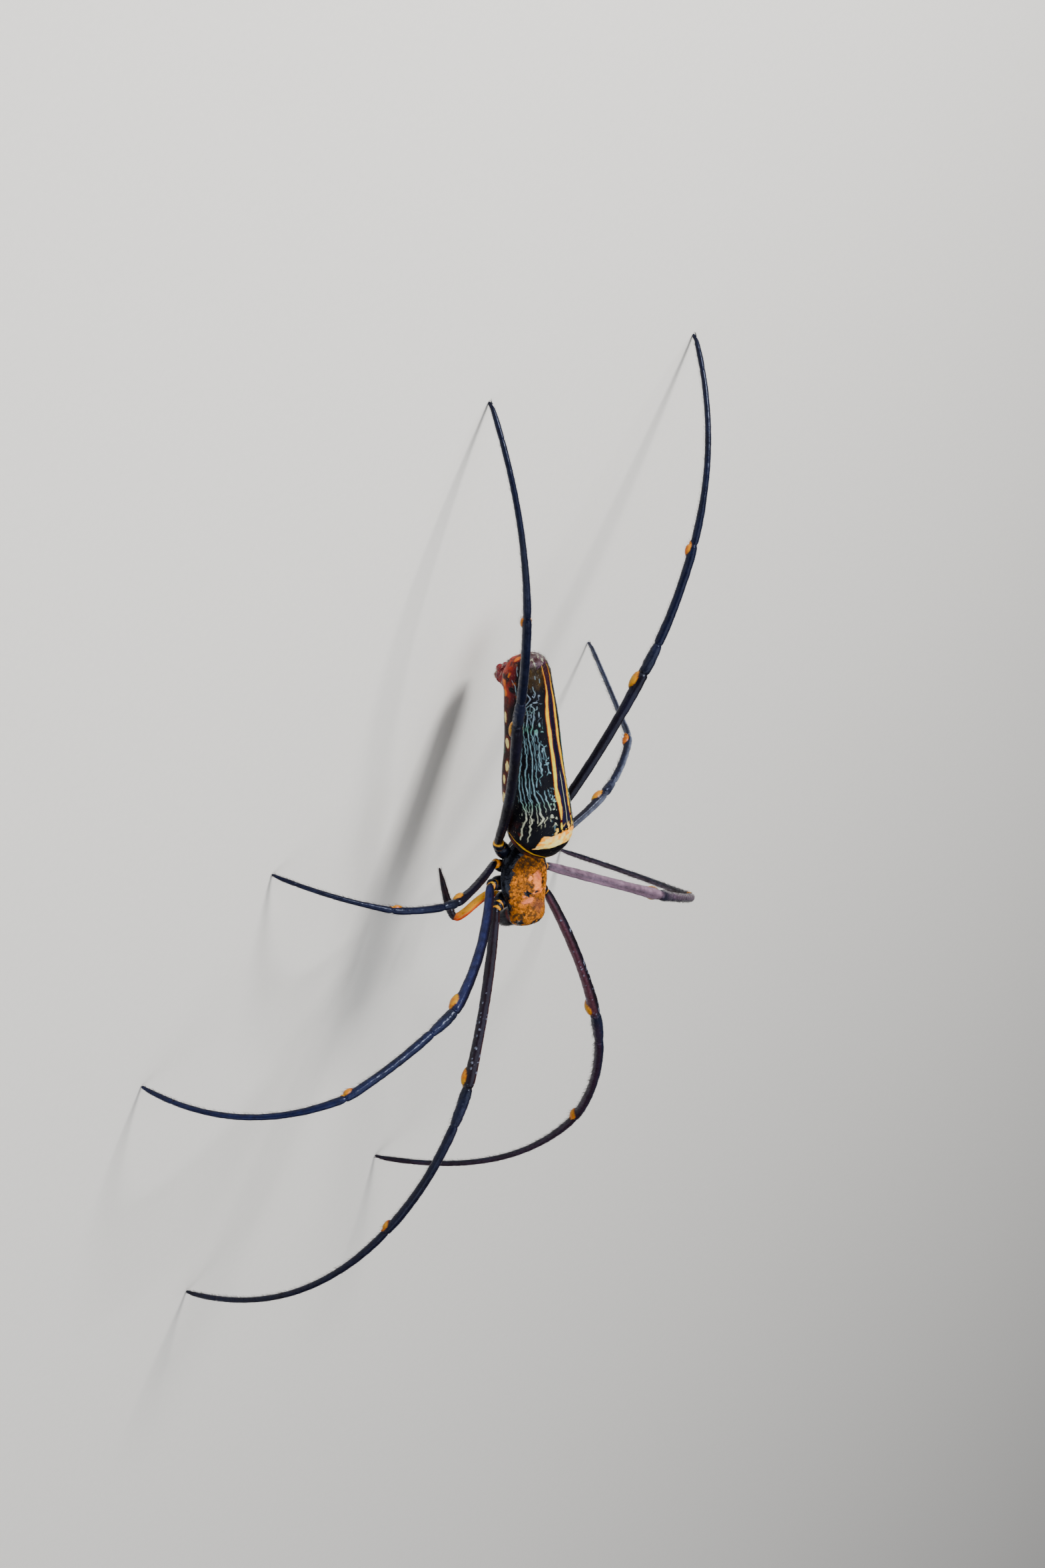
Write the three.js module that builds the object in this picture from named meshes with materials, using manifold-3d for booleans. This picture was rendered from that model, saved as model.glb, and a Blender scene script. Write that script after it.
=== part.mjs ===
// A golden silk orb weaver, adult female, life size in millimetres, standing on the floor z = 0.
// The head looks towards -Y, the spider's left is +X and its back is up.
import * as THREE from 'three';
import { mergeVertices } from 'three/addons/utils/BufferGeometryUtils.js';
import Module from 'manifold-3d';

const wasm = await Module();
wasm.setup();

// Stance: where the waist is over the floor, and how the body is pitched head up and rolled left side up
const WAIST = new THREE.Vector3(2.79, 8.72, 19.1);
const PITCH = THREE.MathUtils.degToRad(21.7);
const ROLL = THREE.MathUtils.degToRad(13.4);

// Room kept between two pieces that meet, and round each small eye
const GAP = 0.3;
const EYE_GAP = 0.15;

// Height of a foot's centre line over the floor at its tip; what would lie under the floor is a flat
const FOOT_HEIGHT = 0.3;

// Leg pairs: lengths of the femur, of patella and tibia, and of metatarsus and tarsus as a chord,
// the share of that chord which is metatarsus, girth, and places on the body as [side, forward, up]
const PAIRS = {
  1: {
    femur: 29.4, tibia: 28.9, foot: 43, metatarsus: 0.86, girth: 1,
    hip: [5.5, 10.8, -1.3], root: [2.2, 9.6, -2.4],
  },
  2: {
    femur: 25.6, tibia: 23.6, foot: 32.1, metatarsus: 0.84, girth: 0.97,
    hip: [6.1, 6.8, -1.9], root: [2.4, 7.3, -2.4],
  },
  3: {
    femur: 15.2, tibia: 12.6, foot: 19.9, metatarsus: 0.8, girth: 0.8,
    hip: [5.1, 3.1, -1.7], root: [2.4, 5, -2.4],
  },
  4: {
    femur: 29, tibia: 22.2, foot: 34.3, metatarsus: 0.83, girth: 0.98,
    hip: [5.6, -0.8, -0.2], root: [2.2, 2.7, -2.2],
  },
};

// Each leg: side +1 is the spider's left; foot is the tip from the waist's foot point, rise lifts the knee
// over the line from hip to foot, lean tips the leg's plane, and bows are the heights by which femur, tibia, and
// metatarsus with tarsus are bowed upwards
const LEGS = {
  right_leg_1: { side: -1, pair: 1, foot: [-27.6, -95.9], rise: 33.7, lean: 8.7, bows: [0.7, 1.8, 5.2] },
  right_leg_2: { side: -1, pair: 2, foot: [-62.9, -36.1], rise: 42.3, lean: 2.8, bows: [1.3, 0.7, 4.6] },
  right_leg_3: { side: -1, pair: 3, foot: [-42.8, -2.6], rise: 36.8, lean: -4.8, bows: [0.4, 0.7, 0.9] },
  right_leg_4: { side: -1, pair: 4, foot: [-21.7, 78.3], rise: 16.5, lean: -28.1, bows: [1.4, 0.7, 3.7] },
  left_leg_1: { side: 1, pair: 1, foot: [24.7, -90.5], rise: 38.1, lean: -23.3, bows: [0.9, 2.1, 6] },
  left_leg_2: { side: 1, pair: 2, foot: [56, -35.7], rise: 48.2, lean: -14.3, bows: [0.6, 0.7, 4.5] },
  left_leg_3: { side: 1, pair: 3, foot: [39.1, 14], rise: 32, lean: 7.2, bows: [0.6, 0.7, 0.1] },
  left_leg_4: { side: 1, pair: 4, foot: [38.9, 74.1], rise: 16.7, lean: -0.6, bows: [0.6, 0.7, 2.4] },
};

// Radii along each leg piece, as [share of its length, radius]
const COXA_GIRTH = [[0, 0.95], [0.3, 1.25], [0.6, 1.2], [0.7, 0.95], [0.82, 1.1], [1, 0.85]];
const FEMUR_GIRTH = [[0, 0.66], [0.08, 0.76], [0.3, 0.84], [0.7, 0.84], [0.93, 0.95], [1, 0.88]];
const TIBIA_GIRTH = [[0, 0.86], [0.07, 0.94], [0.18, 0.87], [0.235, 0.74], [0.28, 0.8], [0.6, 0.74], [0.94, 0.76],
  [1, 0.68]];
const METATARSUS_GIRTH = [[0, 0.6], [0.06, 0.66], [0.3, 0.55], [0.9, 0.47], [1, 0.46]];
const TARSUS_GIRTH = [[0, 0.44], [0.3, 0.46], [0.75, 0.38], [1, 0.24]];
const LEG_SIDES = 10;
const CLAW = { length: 0.9, radius: 0.2, spread: 24, sunk: 0.35 };

// Carapace: half width and height over the rim, from the waist forwards
const CARAPACE = [
  [0.2, 1.3, 0.8], [1.2, 2.9, 1.6], [3, 4.2, 2.1], [5.5, 4.8, 2.3], [7.5, 4.75, 2.35],
  [9.5, 4.1, 2.6], [11, 3.5, 2.95], [12.6, 3.35, 3.1], [13.7, 3.1, 2.75], [14.3, 2.5, 2.1], [14.6, 1.7, 1.3],
];
const CARAPACE_RIM = -0.6;
const CARAPACE_DEPTH = 0.5;
const HORN = { side: 1.05, forward: 8.6, height: 0.75, radius: 0.42, sunk: 0.6 };

// Sternum: a heart-shaped plug between the coxae, as [forward, half width]
const STERNUM = [[1.6, 0.7], [3, 1.75], [6, 2.05], [9, 1.8], [10.6, 0.9]];
const STERNUM_TOP = -1.4;
const STERNUM_BOTTOM = -3.5;

// Abdomen: [back from the waist, half width, half height, height of the centre], between its two poles
const ABDOMEN = [
  [-2, 0, 0, 4.6], [-1.4, 2.6, 1.9, 4.5], [0, 4.7, 3.5, 4.2], [2.2, 5.9, 4.8, 3.6], [5, 6, 5.2, 3.2],
  [10, 5.5, 5, 2.7], [16, 4.8, 4.4, 2.75], [21, 4.5, 4.1, 2.7], [25.5, 4.2, 3.9, 2.3], [28.8, 4, 3.6, 2],
  [31, 2.9, 2.6, 2.4], [31.8, 1.7, 1.5, 2.7], [32.2, 0, 0, 2.8],
];
// Its lower half is narrower at the front, where the hind femora pass, fading out from 4 to 14 mm back
const SHOULDER_PINCH = 0.25;
const PINCH_FADE = [4, 14];
// Pedicel: from just behind the carapace, as [back, up], into the room of the abdomen
const PEDICEL = { from: [0.1, -0.5], to: [3, -0.1], radius: 0.75 };

// Spinnerets: a low cone with three pairs of teats round a small tubercle, behind and under the abdomen
// teats are [side, behind, length] for the one pair of front, middle and hind spinnerets
const SPINNERETS = {
  back: 26.9, height: -1.6, aim: [0, 0.33, -0.95], radius: 2.1, length: 2.5, sunk: 1.2,
  teats: [[0.8, -0.8, 1.9], [0.6, 0.05, 1.5], [0.8, 0.85, 1.8]], teatRadius: [0.78, 0.4],
  teatSunk: 0.4, inward: 0.12, splay: 0.2,
};

// Head parts as [side, forward, up]
const CHELICERA = {
  top: [1.65, 12.7, -1], tip: [1.45, 14.3, -5.9], bulge: 0.5,
  girth: [[0, 1.3], [0.25, 1.5], [0.6, 1.42], [0.9, 1.15], [1, 0.8]],
};
const FANG = { girth: [[0, 0.34], [0.6, 0.25], [1, 0.08]], drop: 0.95, inward: 0.5, back: 1.8 };
// A palp starts as the broad plate beside the mouth and hangs out, forwards and then back below the head
const PALP = [[0.9, 11.2, -3.6], [3.5, 9.7, -4.7], [9.4, 12.7, -6.9], [9.4, 10.6, -8.5], [9.5, 5, -10.2]];
const PALP_GIRTH = [[0, 0.7], [0.08, 0.95], [0.16, 0.7], [0.24, 0.76], [0.45, 0.78], [0.55, 0.68], [0.68, 0.74],
  [0.86, 0.6], [1, 0.22]];
const EYES = {
  front_median: [0.55, 14.2, 1.15, 0.3],
  rear_median: [0.6, 13.65, 2.05, 0.3],
  front_side: [2.5, 13.75, 0.35, 0.26],
  rear_side: [2.75, 13.3, 0.95, 0.26],
};

// Colours of the outer skin, membranes and pubescence
const finish = (color, roughness) => new THREE.MeshStandardMaterial({ color, roughness, metalness: 0 });
const BLACK_CUTICLE = finish('#15161a', 0.3);
const BROWN_CUTICLE = finish('#3a2620', 0.4);
const GOLDEN_HAIR = finish('#b98a3c', 0.9);
const ABDOMEN_SKIN = finish('#23242a', 0.45);
const SPINNERET_SKIN = finish('#6a2a20', 0.5);
const EYE_LENS = finish('#050506', 0.08);

const UP = new THREE.Vector3(0, 0, 1);
const vec = (x, y, z) => new THREE.Vector3(x, y, z);
// A point of the body's own frame from [side, forward, up], on the given side
const onBody = ([side, forward, up], hand = 1) => vec(hand * side, -forward, up);

const spider = new THREE.Group();
const body = new THREE.Group();
body.position.copy(WAIST);
body.rotation.set(-PITCH, -ROLL, 0);
spider.add(body);
body.updateMatrixWorld(true);

// Smooth values through a list of [place, value, value, ...] at any place
function smoothly(stations, place) {
  const last = stations.length - 1;
  let k = 0;
  while (k < last - 1 && place > stations[k + 1][0]) k += 1;
  const [a, b] = [stations[k], stations[k + 1]];
  const t = THREE.MathUtils.clamp((place - a[0]) / (b[0] - a[0]), 0, 1);
  return a.slice(1).map((value, i) => {
    const before = stations[Math.max(k - 1, 0)][i + 1];
    const after = stations[Math.min(k + 2, last)][i + 1];
    const next = b[i + 1];
    return Math.max(0, 0.5 * (2 * value + (next - before) * t
      + (2 * before - 5 * value + 4 * next - after) * t * t
      + (3 * value - before - 3 * next + after) * t * t * t));
  });
}

// A closed surface through rings of points: a ring of one point is a pole, and an open end gets a flat fan.
// Each ring turns clockwise seen from the first ring towards the last.
function loft(rings) {
  const positions = [];
  const index = [];
  const starts = rings.map((ring) => {
    const start = positions.length / 3;
    ring.forEach((p) => positions.push(p.x, p.y, p.z));
    return start;
  });
  for (let i = 0; i < rings.length - 1; i += 1) {
    const [a, b] = [rings[i].length, rings[i + 1].length];
    const n = Math.max(a, b);
    for (let j = 0; j < n; j += 1) {
      const next = (j + 1) % n;
      const [p, q] = [starts[i] + (a > 1 ? j : 0), starts[i] + (a > 1 ? next : 0)];
      const [r, s] = [starts[i + 1] + (b > 1 ? j : 0), starts[i + 1] + (b > 1 ? next : 0)];
      if (a > 1) index.push(p, q, r);
      if (b > 1) index.push(q, s, r);
    }
  }
  const close = (ring, start, flip) => {
    if (ring.length === 1) return;
    const middle = ring.reduce((sum, p) => sum.add(p), vec(0, 0, 0)).divideScalar(ring.length);
    const centre = positions.length / 3;
    positions.push(middle.x, middle.y, middle.z);
    ring.forEach((p, j) => {
      const [u, v] = [start + j, start + ((j + 1) % ring.length)];
      index.push(centre, ...(flip ? [v, u] : [u, v]));
    });
  };
  close(rings[0], starts[0], true);
  close(rings.at(-1), starts.at(-1), false);
  const geometry = new THREE.BufferGeometry();
  geometry.setAttribute('position', new THREE.Float32BufferAttribute(positions, 3));
  geometry.setIndex(index);
  return geometry;
}

// A ring round a centre with two half axes
function ellipse(centre, deep, across, sides) {
  return Array.from({ length: sides }, (_, j) => {
    const angle = (j / sides) * 2 * Math.PI;
    return centre.clone().addScaledVector(deep, Math.cos(angle)).addScaledVector(across, Math.sin(angle));
  });
}

// A limb along a centre line. back is the direction of its upper side. A face given at an end is the plane,
// with its normal along the limb, that the end is cut to.
function limb({ line, girth, back, steps, sides = LEG_SIDES, startFace, endFace, grow = 0, flat = 1 }) {
  const rings = [];
  for (let i = 0; i <= steps; i += 1) {
    const t = i / steps;
    const centre = line.getPoint(t);
    const tangent = line.getTangent(t).normalize();
    const deep = back.clone().addScaledVector(tangent, -back.dot(tangent)).normalize();
    const across = tangent.clone().cross(deep);
    const radius = smoothly(girth, t)[0] + grow;
    const ring = ellipse(centre, deep.multiplyScalar(radius), across.multiplyScalar(radius * flat), sides);
    const face = i === 0 ? startFace : i === steps && endFace;
    if (face) {
      ring.forEach((p) => {
        const reach = face.point.clone().sub(p).dot(face.normal) / tangent.dot(face.normal);
        p.addScaledVector(tangent, reach);
      });
    }
    rings.push(ring);
  }
  return loft(rings);
}

// A centre line from a to b, bowed by a height towards back
function bowed(a, b, height, back) {
  const chord = b.clone().sub(a).normalize();
  const out = back.clone().addScaledVector(chord, -back.dot(chord)).normalize();
  const middle = a.clone().lerp(b, 0.5).addScaledVector(out, 2 * height);
  return new THREE.QuadraticBezierCurve3(a.clone(), middle, b.clone());
}

function solid(geometry) {
  const bare = geometry.clone();
  bare.deleteAttribute('normal');
  bare.deleteAttribute('uv');
  const whole = mergeVertices(bare, 1e-4);
  return new wasm.Manifold(new wasm.Mesh({
    numProp: 3,
    vertProperties: Float32Array.from(whole.attributes.position.array),
    triVerts: Uint32Array.from(whole.index.array),
  }));
}

// The largest closed surface of a solid, as a geometry
function surface(manifold) {
  const pieces = manifold.decompose().sort((a, b) => b.volume() - a.volume());
  const mesh = pieces[0].getMesh();
  const geometry = new THREE.BufferGeometry();
  geometry.setAttribute('position', new THREE.Float32BufferAttribute(mesh.vertProperties, 3));
  geometry.setIndex(Array.from(mesh.triVerts));
  return geometry;
}

function add(parent, name, geometry, material) {
  const mesh = new THREE.Mesh(geometry, material);
  mesh.name = name;
  parent.add(mesh);
  return mesh;
}

// Carapace: a low dome that rises towards the head, over a shallow underside
function carapaceShape(grow = 0) {
  const sides = 22;
  const steps = 16;
  const first = CARAPACE[0][0] - grow;
  const last = CARAPACE.at(-1)[0] + grow;
  const rings = [];
  for (let i = 0; i <= steps; i += 1) {
    const forward = first + (last - first) * (i / steps);
    const [width, height] = smoothly(CARAPACE, THREE.MathUtils.clamp(forward, CARAPACE[0][0], CARAPACE.at(-1)[0]));
    rings.push(Array.from({ length: sides }, (_, j) => {
      const angle = (j / sides) * 2 * Math.PI;
      const rise = Math.cos(angle);
      const lift = rise > 0 ? rise * (height + grow) : -(Math.abs(rise) ** 0.6) * (CARAPACE_DEPTH + grow);
      return vec(-Math.sin(angle) * (width + grow), -forward, CARAPACE_RIM + lift);
    }));
  }
  return loft(rings);
}

function horn(hand) {
  const [, height] = smoothly(CARAPACE, HORN.forward);
  const foot = CARAPACE_RIM + height - HORN.sunk;
  const length = HORN.height + HORN.sunk;
  const cone = new THREE.ConeGeometry(HORN.radius, length, 8);
  cone.rotateX(Math.PI / 2);
  cone.translate(hand * HORN.side, -HORN.forward, foot + length / 2);
  return cone;
}

function eyeShape([side, forward, up, radius], hand, grow = 0) {
  const ball = new THREE.SphereGeometry(radius + grow, 8, 6);
  ball.translate(hand * side, -forward, up);
  return ball;
}

function carapace() {
  let shell = solid(carapaceShape());
  for (const hand of [-1, 1]) {
    shell = shell.add(solid(horn(hand)));
    for (const eye of Object.values(EYES)) shell = shell.subtract(solid(eyeShape(eye, hand, EYE_GAP)));
  }
  add(body, 'carapace', surface(shell), GOLDEN_HAIR);
}

function eyes() {
  for (const [row, eye] of Object.entries(EYES)) {
    add(body, `right_eye_${row}`, eyeShape(eye, -1), EYE_LENS);
    add(body, `left_eye_${row}`, eyeShape(eye, 1), EYE_LENS);
  }
}

function sternumShape(grow = 0) {
  const outline = new THREE.Shape();
  STERNUM.forEach(([forward, width], k) => {
    const f = k === 0 ? forward - grow : k === STERNUM.length - 1 ? forward + grow : forward;
    if (k === 0) outline.moveTo(width + grow, -f);
    else outline.lineTo(width + grow, -f);
  });
  [...STERNUM].reverse().forEach(([forward, width], k) => {
    const f = k === 0 ? forward + grow : k === STERNUM.length - 1 ? forward - grow : forward;
    outline.lineTo(-width - grow, -f);
  });
  const plate = new THREE.ExtrudeGeometry(outline, {
    depth: STERNUM_TOP - STERNUM_BOTTOM + 2 * grow, bevelEnabled: false,
  });
  plate.translate(0, 0, STERNUM_BOTTOM - grow);
  return plate;
}

function abdomenShape(grow = 0) {
  const sides = 26;
  const steps = 26;
  const first = ABDOMEN[0][0];
  const last = ABDOMEN.at(-1)[0];
  const rings = [];
  for (let i = 0; i <= steps; i += 1) {
    // Closer together towards the two round ends
    const t = 0.5 - 0.5 * Math.cos((i / steps) * Math.PI);
    const along = first + (last - first) * t;
    const [width, height, centre] = smoothly(ABDOMEN, along);
    if (i === 0 || i === steps) {
      rings.push([vec(0, along + (i === 0 ? -grow : grow), centre)]);
      continue;
    }
    const [held, gone] = PINCH_FADE;
    const pinch = SHOULDER_PINCH * THREE.MathUtils.clamp((gone - along) / (gone - held), 0, 1);
    const [deep, across] = [vec(0, 0, height + grow), vec(width + grow, 0, 0)];
    rings.push(ellipse(vec(0, along, centre), deep, across, sides).map((p) => {
      const below = THREE.MathUtils.clamp((centre - p.z) / height, 0, 1);
      return p.setX(p.x * (1 - pinch * below));
    }));
  }
  return loft(rings);
}

// The joints of a leg in the floor's frame, its plane's upward direction and its centre lines
function legPlan(leg) {
  const pair = PAIRS[leg.pair];
  const hip = body.localToWorld(onBody(pair.hip, leg.side));
  const root = body.localToWorld(onBody(pair.root, leg.side));
  const foot = vec(WAIST.x + leg.foot[0], WAIST.y + leg.foot[1], FOOT_HEIGHT);
  const reach = foot.clone().sub(hip).normalize();
  const upright = UP.clone().addScaledVector(reach, -UP.dot(reach)).normalize();
  const sideways = reach.clone().cross(upright);
  const lean = THREE.MathUtils.degToRad(leg.lean);
  const back = upright.multiplyScalar(Math.cos(lean)).addScaledVector(sideways, Math.sin(lean));
  const rise = THREE.MathUtils.degToRad(leg.rise);
  const knee = hip.clone().addScaledVector(reach, pair.femur * Math.cos(rise))
    .addScaledVector(back, pair.femur * Math.sin(rise));
  // The tibia and the foot's chord close a triangle over the line from knee to foot
  const span = foot.clone().sub(knee);
  const distance = Math.min(span.length(), pair.tibia + pair.foot - 0.01);
  span.normalize();
  const out = back.clone().addScaledVector(span, -back.dot(span)).normalize();
  const cosine = (pair.tibia ** 2 + distance ** 2 - pair.foot ** 2) / (2 * pair.tibia * distance);
  const ankle = knee.clone().addScaledVector(span, pair.tibia * cosine)
    .addScaledVector(out, pair.tibia * Math.sqrt(1 - cosine ** 2));
  const lower = bowed(ankle, foot, leg.bows[2], back);
  const wrist = lower.getPoint(pair.metatarsus);
  return {
    pair, back, root, hip, knee, ankle, wrist, foot,
    coxa: new THREE.LineCurve3(root, hip),
    femur: bowed(hip, knee, leg.bows[0], back),
    tibia: bowed(knee, ankle, leg.bows[1], back),
    metatarsus: part(lower, 0, pair.metatarsus),
    tarsus: part(lower, pair.metatarsus, 1),
  };
}

// The stretch of a quadratic curve from a to b, as a curve of its own
function part(curve, a, b) {
  const before = curve.v0.clone().lerp(curve.v1, a);
  const after = curve.v1.clone().lerp(curve.v2, a);
  return new THREE.QuadraticBezierCurve3(curve.getPoint(a), before.lerp(after, b), curve.getPoint(b));
}

// The plane that halves the bend between two centre lines, with the gap's half to either side
function jointFaces(before, after) {
  const normal = before.getTangent(1).normalize().add(after.getTangent(0).normalize()).normalize();
  const point = after.getPoint(0);
  return {
    end: { normal, point: point.clone().addScaledVector(normal, -GAP / 2) },
    start: { normal, point: point.clone().addScaledVector(normal, GAP / 2) },
  };
}

function thicken(girth, factor) {
  return girth.map(([place, radius]) => [place, radius * factor]);
}

// Two small claws at the tip of a foot, spread to either side and pointing on
function claws(plan) {
  const tip = plan.foot;
  const ahead = plan.tarsus.getTangent(1).normalize();
  const side = ahead.clone().cross(plan.back).normalize();
  return [-1, 1].map((hand) => {
    const angle = THREE.MathUtils.degToRad(CLAW.spread) * hand;
    const aim = ahead.clone().multiplyScalar(Math.cos(angle)).addScaledVector(side, Math.sin(angle));
    const cone = new THREE.ConeGeometry(CLAW.radius * plan.pair.girth, CLAW.length, 6);
    cone.applyQuaternion(new THREE.Quaternion().setFromUnitVectors(vec(0, 1, 0), aim));
    const middle = tip.clone().addScaledVector(aim, CLAW.length / 2 - CLAW.sunk);
    cone.translate(middle.x, middle.y, middle.z);
    return cone;
  });
}

const overFloor = new THREE.BoxGeometry(400, 400, 100).translate(0, 0, 50);

function leg(name, spec, cutters) {
  const plan = legPlan(spec);
  const { pair, back } = plan;
  const hipFaces = jointFaces(plan.coxa, plan.femur);
  const kneeFaces = jointFaces(plan.femur, plan.tibia);
  const ankleFaces = jointFaces(plan.tibia, plan.metatarsus);
  const wristFaces = jointFaces(plan.metatarsus, plan.tarsus);
  const piece = (line, girth, steps, startFace, endFace) => limb({
    line, girth: thicken(girth, pair.girth), back, steps, startFace, endFace,
  });

  const toBody = body.matrixWorld.clone().invert();
  const coxa = piece(plan.coxa, COXA_GIRTH, 8, undefined, hipFaces.end).applyMatrix4(toBody);
  let block = solid(coxa);
  for (const cutter of cutters) block = block.subtract(cutter);
  add(body, `${name}_coxa`, surface(block), BLACK_CUTICLE);

  add(spider, `${name}_femur`, piece(plan.femur, FEMUR_GIRTH, 12, hipFaces.start, kneeFaces.end), BLACK_CUTICLE);
  add(spider, `${name}_tibia`, piece(plan.tibia, TIBIA_GIRTH, 16, kneeFaces.start, ankleFaces.end), BLACK_CUTICLE);
  add(spider, `${name}_metatarsus`,
    piece(plan.metatarsus, METATARSUS_GIRTH, 12, ankleFaces.start, wristFaces.end), BLACK_CUTICLE);
  let tarsus = solid(piece(plan.tarsus, TARSUS_GIRTH, 6, wristFaces.start, undefined));
  for (const claw of claws(plan)) tarsus = tarsus.add(solid(claw));
  add(spider, `${name}_tarsus`, surface(tarsus.intersect(solid(overFloor))), BLACK_CUTICLE);
}

function pedicel(abdomenRoom) {
  const line = new THREE.LineCurve3(vec(0, ...PEDICEL.from), vec(0, ...PEDICEL.to));
  const stalk = limb({ line, girth: [[0, PEDICEL.radius], [1, PEDICEL.radius]], back: UP, steps: 2, sides: 14 });
  add(body, 'pedicel', surface(solid(stalk).subtract(abdomenRoom)), BROWN_CUTICLE);
}

function spinnerets(abdomenRoom) {
  const aim = vec(...SPINNERETS.aim).normalize();
  const across = vec(1, 0, 0);
  const rear = aim.clone().cross(across).negate();
  const base = vec(0, SPINNERETS.back, SPINNERETS.height);
  const cone = (from, towards, radii, length) => {
    const shape = new THREE.CylinderGeometry(radii[1], radii[0], length, 12);
    shape.applyQuaternion(new THREE.Quaternion().setFromUnitVectors(vec(0, 1, 0), towards));
    const middle = from.clone().addScaledVector(towards, length / 2);
    return shape.translate(middle.x, middle.y, middle.z);
  };
  const { radius, length, sunk } = SPINNERETS;
  let cluster = solid(cone(base.clone().addScaledVector(aim, -sunk), aim, [radius, radius * 0.8], length + sunk));
  for (const hand of [-1, 1]) {
    for (const [side, behind, reach] of SPINNERETS.teats) {
      const root = base.clone().addScaledVector(aim, length - SPINNERETS.teatSunk)
        .addScaledVector(across, hand * side).addScaledVector(rear, behind);
      const towards = aim.clone().addScaledVector(across, -hand * SPINNERETS.inward)
        .addScaledVector(rear, behind * SPINNERETS.splay);
      cluster = cluster.add(solid(cone(root, towards.normalize(), SPINNERETS.teatRadius, reach)));
    }
  }
  add(body, 'spinnerets', surface(cluster.subtract(abdomenRoom)), SPINNERET_SKIN);
}

function mouthparts(cutters) {
  // The slit along the middle that parts left from right
  const middle = solid(new THREE.BoxGeometry(GAP, 20, 20).translate(0, -CHELICERA.tip[1], -4));
  for (const [side, hand] of [['right', -1], ['left', 1]]) {
    const top = onBody(CHELICERA.top, hand);
    const tip = onBody(CHELICERA.tip, hand);
    const line = bowed(top, tip, CHELICERA.bulge, vec(0, -1, 0));
    let chelicera = solid(limb({ line, girth: CHELICERA.girth, back: vec(0, -1, 0), steps: 10, sides: 14 }));
    for (const cutter of cutters) chelicera = chelicera.subtract(cutter);
    add(body, `${side}_chelicera`, surface(chelicera.subtract(middle)), BLACK_CUTICLE);

    const root = tip.clone().add(vec(0, 0.1, -GAP));
    const fangLine = new THREE.QuadraticBezierCurve3(
      root, root.clone().add(vec(0, 0.2, -FANG.drop)),
      root.clone().add(vec(-hand * FANG.inward, FANG.back, -FANG.drop)),
    );
    const fang = limb({ line: fangLine, girth: FANG.girth, back: vec(0, -1, 0), steps: 6, sides: 8 });
    add(body, `${side}_fang`, fang, BROWN_CUTICLE);

    const palpLine = new THREE.CatmullRomCurve3(PALP.map((p) => onBody(p, hand)), false, 'centripetal');
    let palp = solid(limb({ line: palpLine, girth: PALP_GIRTH, back: UP, steps: 24, sides: 10 }));
    const cheliceraRoom = limb({
      line, girth: CHELICERA.girth, back: vec(0, -1, 0), steps: 10, sides: 14, grow: GAP,
    });
    for (const cutter of [...cutters, solid(cheliceraRoom), middle]) palp = palp.subtract(cutter);
    add(body, `${side}_palp`, surface(palp), BROWN_CUTICLE);
  }
}

carapace();
eyes();
add(body, 'sternum', sternumShape(), BROWN_CUTICLE);
add(body, 'abdomen', abdomenShape(), ABDOMEN_SKIN);
const carapaceRoom = solid(carapaceShape(GAP));
const sternumRoom = solid(sternumShape(GAP));
const abdomenRoom = solid(abdomenShape(GAP));
pedicel(abdomenRoom);
spinnerets(abdomenRoom);
mouthparts([carapaceRoom, sternumRoom]);
for (const [name, spec] of Object.entries(LEGS)) leg(name, spec, [carapaceRoom, sternumRoom, abdomenRoom]);

export default spider;
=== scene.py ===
# The looks of a golden silk orb weaver, an adult female at life size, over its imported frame.
# Places and sizes are in millimetres, in the same frame as the solids, and become metres in make_mesh.
# Places on the body are [side, forward, up] from the waist, with the spider's left as the positive side.
import itertools
import math

import bpy
import numpy as np
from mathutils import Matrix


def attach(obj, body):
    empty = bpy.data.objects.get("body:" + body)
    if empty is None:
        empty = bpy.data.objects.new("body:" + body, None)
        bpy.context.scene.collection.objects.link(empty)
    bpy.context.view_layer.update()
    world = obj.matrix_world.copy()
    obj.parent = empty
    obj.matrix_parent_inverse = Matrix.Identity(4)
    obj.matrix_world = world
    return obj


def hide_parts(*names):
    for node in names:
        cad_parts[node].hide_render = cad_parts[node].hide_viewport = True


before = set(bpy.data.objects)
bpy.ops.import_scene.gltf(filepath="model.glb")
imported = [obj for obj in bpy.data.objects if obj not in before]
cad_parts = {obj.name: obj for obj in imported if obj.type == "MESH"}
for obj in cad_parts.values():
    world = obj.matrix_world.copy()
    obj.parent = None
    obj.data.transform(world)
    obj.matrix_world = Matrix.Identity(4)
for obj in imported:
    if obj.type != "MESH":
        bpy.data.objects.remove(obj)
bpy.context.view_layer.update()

MM = 0.001
BODY = "root"
HANDS = (("right", -1), ("left", 1))
FULL_TURN = 2 * np.pi

# Stance
WAIST = np.array([2.79, 8.72, 19.1])
PITCH = math.radians(21.7)
ROLL = math.radians(13.4)
FOOT_HEIGHT = 0.3

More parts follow.
